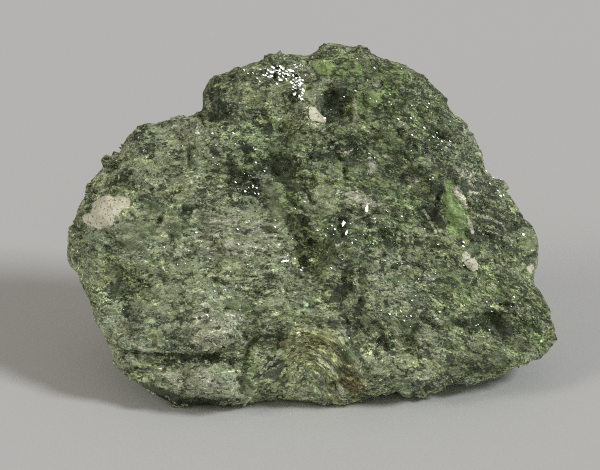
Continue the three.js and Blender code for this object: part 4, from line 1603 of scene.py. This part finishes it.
@dataclass
class StoneBody:
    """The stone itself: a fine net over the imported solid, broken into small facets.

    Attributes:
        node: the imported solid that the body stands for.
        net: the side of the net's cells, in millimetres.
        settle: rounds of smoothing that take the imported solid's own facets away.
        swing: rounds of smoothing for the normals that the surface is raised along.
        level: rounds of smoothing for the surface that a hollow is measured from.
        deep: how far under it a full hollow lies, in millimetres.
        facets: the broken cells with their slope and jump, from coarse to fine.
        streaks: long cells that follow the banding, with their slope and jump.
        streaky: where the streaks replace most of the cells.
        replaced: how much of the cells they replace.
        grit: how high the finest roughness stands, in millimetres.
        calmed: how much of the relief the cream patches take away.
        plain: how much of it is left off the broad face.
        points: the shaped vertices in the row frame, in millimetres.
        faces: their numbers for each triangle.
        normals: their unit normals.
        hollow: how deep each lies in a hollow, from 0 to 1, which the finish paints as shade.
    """

    node: str = "diopside_rock"
    net: float = 0.33
    settle: int = 14
    swing: int = 8
    level: int = 10
    deep: float = 0.25
    facets: tuple[tuple[Cells, float, float], ...] = (
        (Cells(5.5, 601), 0.15, 0.08),
        (Cells(2.3, 631), 0.22, 0.05),
        (Cells(1.05, 661), 0.22, 0.03),
    )
    streaks: tuple[tuple[Cells, float, float], ...] = (
        (Cells(1.25, 701, 4.0), 0.26, 0.05),
    )
    streaky: tuple[Patch, ...] = (
        Patch(-15.0, 17.0, 13.0, 11.0, 0.0, 0.75),
        Patch(25.0, 20.0, 8.0, 9.0, -30.0, 0.9),
        Patch(3.0, 5.0, 5.0, 4.5, -30.0, 0.9),
    )
    replaced: float = 0.6
    grit: float = 0.05
    calmed: float = 0.8
    plain: float = 0.2
    points: Array = field(default_factory=lambda: np.zeros((0, 3)))
    faces: Array = field(default_factory=lambda: np.zeros((0, 3), int))
    normals: Array = field(default_factory=lambda: np.zeros((0, 3)))
    hollow: Array = field(default_factory=lambda: np.zeros(0))

    def even_net(self) -> bpy.types.Mesh:
        """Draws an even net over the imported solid.

        Returns:
            The net, all in triangles.
        """
        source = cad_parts[self.node]
        rough = bpy.data.objects.new("rough_stone", source.data.copy())
        bpy.context.scene.collection.objects.link(rough)
        remesh = rough.modifiers.new("even net", "REMESH")
        remesh.mode = "VOXEL"
        remesh.voxel_size = self.net * MM
        rough.modifiers.new("triangles", "TRIANGULATE")
        graph = bpy.context.evaluated_depsgraph_get()
        mesh = bpy.data.meshes.new_from_object(rough.evaluated_get(graph))
        bpy.data.objects.remove(rough)
        return mesh

    def heights(self, base: Array, places: Array, face: Array) -> Array:
        """How far the broken surface stands above or below the smooth one.

        Args:
            base: the smooth surface's vertices in the row frame, in millimetres.
            places: the same in the frame of the face.
            face: how much each belongs to the broad face.

        Returns:
            One height for each vertex, in millimetres.
        """
        bands = FACE.banding(places)
        streaky = np.max([patch.share(places) for patch in self.streaky], axis=0) * face
        broken = sum(cells.heights(bands, tip, jump) for cells, tip, jump in self.facets)
        long = sum(cells.heights(bands, tip, jump) for cells, tip, jump in self.streaks)
        height = broken * (1.0 - self.replaced * streaky) + long * streaky
        height += self.grit * swell(base, 1.0, 741, 2)
        stains = stains_at(places, face)
        calm = ease(stains[Stain.CREAM] / 0.6 + 0.5)
        height *= (1.0 - self.calmed * calm) * (self.plain + (1.0 - self.plain) * face**2)
        for stain, depth in stains.items():
            height += stain.value.lift * ease(depth / 0.4 + 0.5)
        for patch in (Patch(*row) for row in RISES):
            height += patch.strength * ease(patch.cover(places) * 1.2) * face
        for lip in LIPS:
            height += lip.heights(places) * face
        return height - NUB.strength * ease(NUB.cover(places) * 1.2)

    def shape(self) -> None:
        """Smooths the net and breaks its surface into facets, lips and hollows."""
        mesh = self.even_net()
        self.faces = faces_of(mesh)
        edges = edges_of(self.faces)
        raw = points_of(mesh)
        bpy.data.meshes.remove(mesh)
        base = smoothed(raw, edges, self.settle)
        normals = smoothed(normals_of(base, self.faces), edges, self.swing)
        normals /= np.linalg.norm(normals, axis=1)[:, None]
        places = FACE.of(base)
        height = self.heights(base, places, on_face(places, normals))
        points = base + normals * height[:, None]
        points[:, 2] = np.maximum(points[:, 2], 0.0)
        self.points = points
        self.normals = normals_of(points, self.faces)
        low = ((smoothed(points, edges, self.level) - points) * self.normals).sum(axis=1)
        self.hollow = smoothed(np.clip(low / self.deep, 0.0, 1.0), edges, 1)

    def build(self) -> bpy.types.Object:
        """Makes the body's object, with its tones and its finish.

        Returns:
            The object.
        """
        self.shape()
        mesh = make_mesh("diopside_stone", self.points, self.faces)
        tones = tones_at(self.points, self.normals)
        store(mesh, "tint", tones.colour)
        places = FACE.of(self.points)
        store(mesh, "bands", FACE.banding(places))
        for name in ("dust", "speck", "glitter"):
            store(mesh, name, getattr(tones, name))
        for mineral, share in tones.crisp.items():
            store(mesh, mineral.name.lower(), share)
        stains = stains_at(places, on_face(places, self.normals))
        for stain, depth in stains.items():
            store(mesh, stain.name.lower(), depth)
        # The depth of the hollows, which the finish paints as shade; none under the cream patches
        store(mesh, "hollow", self.hollow * (stains[Stain.CREAM] < 0.0))
        mesh.shade_smooth()
        mesh.materials.append(StoneFinish().build())
        stone = bpy.data.objects.new("diopside_stone", mesh)
        bpy.context.scene.collection.objects.link(stone)
        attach(stone, "root")
        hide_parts(self.node)
        return stone


# The glassy plates


@dataclass(frozen=True)
class PlateField:
    """A place of the face where flat glassy crystal faces catch the light.

    Attributes:
        middle: its middle, u and v in millimetres.
        reach: its half width and half height, in millimetres.
        turn: how far it is turned to the left, in degrees.
        count: how many plates it has.
        length: the shortest and the longest plate, in millimetres.
        slender: a plate's width as a share of its length.
        way: how far the plates' long side is turned from the u axis, in degrees.
    """

    middle: tuple[float, float]
    reach: tuple[float, float]
    turn: float
    count: int
    length: tuple[float, float] = (0.16, 0.42)
    slender: float = 0.55
    way: float = -20.0

    def spot(self, rng: np.random.Generator) -> Array:
        """Picks a place in the field.

        Args:
            rng: the source of the random draws.

        Returns:
            Its u and v in millimetres.
        """
        far, way = math.sqrt(rng.random()), rng.random() * math.tau
        step = far * np.array([math.cos(way), math.sin(way)]) * np.array(self.reach)
        cos, sin = math.cos(math.radians(self.turn)), math.sin(math.radians(self.turn))
        return np.array(self.middle) + step @ np.array([[cos, sin], [-sin, cos]])


PLATE_FIELDS: tuple[PlateField, ...] = (
    PlateField((-4.4, 44.5), (2.3, 1.0), -12, 80, (0.28, 0.75)),
    PlateField((-1.8, 42.7), (0.8, 2.0), 12, 80, (0.28, 0.75)),
    PlateField((-4.8, 43.8), (0.7, 0.9), 0, 12, (0.2, 0.5)),
    PlateField((-6.8, 44.3), (1.0, 0.8), 0, 7),
    PlateField((-9.2, 44.6), (1.0, 0.6), 0, 4),
    PlateField((-1.6, 45.7), (0.8, 0.5), 0, 5),
    PlateField((-8.0, 28.6), (1.0, 1.2), -50, 12, (0.2, 0.5)),
    PlateField((-4.8, 24.6), (0.5, 0.6), 0, 4, (0.25, 0.5)),
    PlateField((-1.4, 22.2), (0.9, 0.4), 0, 5),
    PlateField((17.6, 35.4), (1.6, 1.2), -40, 22, (0.2, 0.5), 0.35, -40.0),
    PlateField((16.0, 30.3), (0.3, 0.3), 0, 2),
    PlateField((10.3, 40.2), (0.4, 0.4), 0, 3),
    PlateField((18.4, 38.0), (0.4, 0.4), 0, 3),
    PlateField((11.8, 45.3), (0.5, 0.3), 0, 3),
    PlateField((17.0, 21.7), (0.6, 0.4), 0, 3),
    PlateField((24.4, 30.2), (2.0, 1.6), -40, 16),
    PlateField((4.5, 24.8), (0.1, 0.1), 0, 1, (2.2, 2.2), 0.28, 66.0),
    PlateField((4.6, 23.5), (0.1, 0.1), 0, 1, (1.0, 1.0), 0.30, 70.0),
    PlateField((7.6, 26.5), (0.1, 0.1), 0, 1, (1.3, 1.3), 0.35, 85.0),
    PlateField((-3.6, 20.1), (0.1, 0.1), 0, 1, (1.3, 1.3), 0.18, 17.0),
    PlateField((-3.6, 19.6), (0.1, 0.1), 0, 1, (1.4, 1.4), 0.18, 17.0),
    PlateField((17.5, 27.1), (0.1, 0.1), 0, 1, (1.3, 1.3), 0.22, -42.0),
    PlateField((16.1, 30.4), (0.1, 0.1), 0, 1, (1.0, 1.0), 0.25, 20.0),
    PlateField((-15.8, 8.4), (0.5, 0.3), 0, 4, (0.4, 0.6), 0.3, 70.0),
    PlateField((-14.3, 12.2), (1.0, 0.2), 10, 7),
    PlateField((-24.6, 13.3), (0.5, 0.4), 0, 4, (0.2, 0.5)),
    PlateField((-11.9, 15.6), (1.2, 0.3), 0, 5),
    PlateField((13.4, 11.6), (1.8, 0.8), -25, 12),
    PlateField((28.3, 23.1), (0.1, 0.1), 0, 1, (0.5, 0.5), 0.8),
    PlateField((25.4, 29.0), (0.7, 0.8), -50, 7, (0.25, 0.5)),
    PlateField((20.1, 21.8), (0.2, 0.2), 0, 2, (0.3, 0.5)),
    PlateField((-15.0, 2.6), (0.6, 0.5), 0, 5, (0.2, 0.45)),
    PlateField((-16.0, 0.8), (4.0, 0.6), -8, 8),
    PlateField((-10.0, 33.6), (5.0, 3.0), -50, 26),
    PlateField((0.0, 23.0), (6.0, 5.0), -20, 44, (0.15, 0.4)),
    PlateField((10.0, 22.0), (8.0, 5.0), -20, 16),
    PlateField((-14.0, 22.0), (7.0, 6.0), 20, 34),
    PlateField((20.0, 15.0), (8.0, 5.0), -20, 34),
    PlateField((2.0, 14.0), (12.0, 5.0), 0, 30),
    PlateField((8.0, 40.0), (10.0, 6.0), -30, 40),
)


@dataclass
class Plates:
    """The flat glassy faces of single crystals, set flush into the stone.

    Attributes:
        body: the stone's body, already shaped.
        facing: the way the plates face, in the frame of the face: right, up and in.
        wander: how far a plate's facing strays from that, in radians.
        stray: how far a round plate's long side strays from its field's way, in degrees.
        short: how much short plates prevail, as a power.
        uneven: how far a corner strays round the rim, as a share of the step between two.
        proud: how far a plate stands out, in millimetres.
        clear: how much further it stands out as its long side leans.
        thick: how deep a plate reaches into the stone, as a share of its length.
        sides: how many corners a plate has.
        seed: which random draws to take.
    """

    body: StoneBody
    facing: tuple[float, float, float] = (0.43, 0.28, -0.86)
    wander: float = 0.05
    stray: float = 25.0
    short: float = 1.5
    uneven: float = 0.25
    proud: float = 0.03
    clear: float = 0.45
    thick: float = 0.7
    sides: int = 5
    seed: int = 77

    def front_tree(self, places: Array) -> KDTree:
        """Sorts the body's vertices on the broad face by their u and v.

        Args:
            places: all the body's vertices in the frame of the face, in millimetres.

        Returns:
            A search tree that gives the vertices' numbers.
        """
        front = np.flatnonzero(on_face(places, self.body.normals) > 0.5)
        tree = KDTree(len(front))
        for number in front:
            tree.insert((*places[number, :2], 0.0), int(number))
        tree.balance()
        return tree

    def corners(self, area: PlateField, at: Array, rng: np.random.Generator) -> list[Array]:
        """Cuts one plate.

        Args:
            area: the field that it lies in.
            at: its middle in the frame of the face, in millimetres.
            rng: the source of the random draws.

        Returns:
            The corners of its rim, and last the point of its foot in the stone.
        """
        facing = np.array(self.facing) + rng.normal(0.0, self.wander, 3)
        facing /= np.linalg.norm(facing)
        bearing = math.radians(area.way + rng.normal(0.0, self.stray * area.slender))
        along = np.array([math.cos(bearing), math.sin(bearing), 0.0])
        along -= (along @ facing) * facing
        along /= np.linalg.norm(along)
        across = np.cross(facing, along)
        shortest, longest = area.length
        length = shortest + (longest - shortest) * rng.random() ** self.short
        strays = rng.uniform(-self.uneven, self.uneven, self.sides)
        turns = (np.arange(self.sides) + strays) * math.tau / self.sides
        reach = np.outer(np.cos(turns), along) + area.slender * np.outer(np.sin(turns), across)
        rim = at + 0.5 * length * reach
        rim[:, 2] -= self.proud + self.clear * length * abs(along[2])
        return [*rim, at - self.thick * length * facing]

    def triangles(self, first: int) -> list[tuple[int, int, int]]:
        """Closes one plate.

        Args:
            first: the number of its first corner.

        Returns:
            The point numbers of its triangles: the flat top, and the sides down to its foot.
        """
        foot = first + self.sides
        ring = list(range(first, foot))
        top = [(ring[0], ring[n + 1], ring[n]) for n in range(1, self.sides - 1)]
        return top + [(start, end, foot) for start, end in zip(ring, ring[1:] + ring[:1])]

    def build(self) -> bpy.types.Object:
        """Makes all the plates as one piece.

        Returns:
            The object.
        """
        rng = np.random.default_rng(self.seed)
        places = FACE.of(self.body.points)
        tree = self.front_tree(places)
        points, faces = [], []
        for area in PLATE_FIELDS:
            for _ in range(area.count):
                at = places[tree.find((*area.spot(rng), 0.0))[1]]
                faces += self.triangles(len(points))
                points += self.corners(area, at, rng)
        mesh = make_mesh("glassy_plates", FACE.to_row(np.array(points)), np.array(faces))
        mesh.shade_flat()
        mesh.materials.append(GlassFinish().build())
        plates = bpy.data.objects.new("glassy_plates", mesh)
        bpy.context.scene.collection.objects.link(plates)
        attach(plates, "root")
        return plates


# The studio


@dataclass(frozen=True)
class Lamp:
    """A distant soft lamp.

    Attributes:
        name: the lamp's name.
        bearing: degrees from +X, anticlockwise seen from above, to where it stands.
        height: degrees above the ground.
        power: its strength.
        softness: its apparent width, in degrees.
        colour: its linear colour.
    """

    name: str
    bearing: float
    height: float
    power: float
    softness: float
    colour: tuple[float, float, float]

    def build(self) -> None:
        """Makes the lamp."""
        data = bpy.data.lights.new(self.name, "SUN")
        data.energy = self.power
        data.angle = math.radians(self.softness)
        data.color = self.colour
        lamp = bpy.data.objects.new(self.name, data)
        bearing, height = math.radians(self.bearing), math.radians(self.height)
        towards = Vector((
            math.cos(bearing) * math.cos(height),
            math.sin(bearing) * math.cos(height),
            math.sin(height),
        ))
        lamp.rotation_euler = towards.to_track_quat("Z", "Y").to_euler()
        lamp.location = towards
        bpy.context.scene.collection.objects.link(lamp)


@dataclass
class Studio:
    """The pale ground, the lamps and the camera.

    Attributes:
        lamps: the soft lamps.
        ambient: the linear colour of the light from all round.
        ground: the linear lightness of the ground.
        mottle: the noise that makes the ground a little lighter and darker.
        half: from the ground's middle to its sides, in metres.
        pixels: the picture's width.
        scale: pixels of the picture in a millimetre.
        aim: the face's u and v in the middle of the picture.
        distance: from the camera to the face, in metres.
    """

    lamps: tuple[Lamp, ...] = (
        Lamp("key_lamp", -16.0, 40.0, 1.50, 14.0, (0.95, 0.98, 1.0)),
        Lamp("fill_lamp", 200.0, 38.0, 0.50, 20.0, (1.0, 0.97, 0.9)),
    )
    ambient: tuple[float, float, float] = (0.27, 0.255, 0.235)
    ground: float = 0.71
    mottle: Noise = Noise(0.125, 2.0, 0.5, 0.0)
    half: float = 3.0
    pixels: float = 600.0
    scale: float = 7.54
    aim: tuple[float, float] = (-1.525, 23.0)
    distance: float = 1.0

    def lay_ground(self) -> None:
        """Lays a wide pale ground under the stone."""
        rim = ((-1.0, -1.0), (1.0, -1.0), (1.0, 1.0), (-1.0, 1.0))
        mesh = bpy.data.meshes.new("ground")
        mesh.from_pydata([(self.half * x, self.half * y, 0.0) for x, y in rim], [], [range(4)])
        sheet = NodeSheet("pale_ground")
        mottle = sheet.noise(sheet.add("TexCoord").outputs["Object"], self.mottle)
        level = sheet.ramp(mottle, Rise((0.3, 0.7), (0.99 * self.ground, 1.01 * self.ground)))
        inputs = {"Base Color": sheet.grey(level), "Roughness": 0.6, "Specular IOR Level": 0.3}
        mesh.materials.append(sheet.finish(inputs))
        ground = bpy.data.objects.new("ground", mesh)
        bpy.context.scene.collection.objects.link(ground)

    def set_camera(self) -> None:
        """Points the camera straight at the broad face, on a long lens."""
        data = bpy.data.cameras.new("camera")
        wide = self.pixels / self.scale * MM
        data.sensor_width = 36.0
        data.lens = data.sensor_width * self.distance / wide
        data.clip_end = 20.0
        camera = bpy.data.objects.new("camera", data)
        aim = FACE.to_row(np.array([[*self.aim, 0.0]]))[0] * MM
        inward = FACE.axes()[2]
        camera.location = Vector(aim - inward * self.distance)
        camera.rotation_euler = Vector(inward).to_track_quat("-Z", "Y").to_euler()
        bpy.context.scene.collection.objects.link(camera)
        bpy.context.scene.camera = camera

    def build(self) -> None:
        """Sets the whole studio up."""
        self.lay_ground()
        for lamp in self.lamps:
            lamp.build()
        self.set_camera()
        scene = bpy.context.scene
        world = bpy.data.worlds.new("soft_room")
        world.use_nodes = True
        world.node_tree.nodes["Background"].inputs["Color"].default_value = (*self.ambient, 1.0)
        scene.world = world
        scene.cycles.use_denoising = False
        scene.cycles.filter_width = 1.1
        scene.view_settings.view_transform = "Standard"
        scene.view_settings.look = "None"


def main() -> None:
    """Builds the stone, its glassy plates and the studio, and notes the sizes."""
    logging.basicConfig(level=logging.INFO, format="%(name)s: %(message)s")
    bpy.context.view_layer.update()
    body = StoneBody()
    stone = body.build()
    log.info("%s: %d triangles", stone.name, len(stone.data.polygons))
    plates = Plates(body).build()
    log.info("%s: %d triangles", plates.name, len(plates.data.polygons))
    Studio().build()


if __name__ == "__main__":
    main()
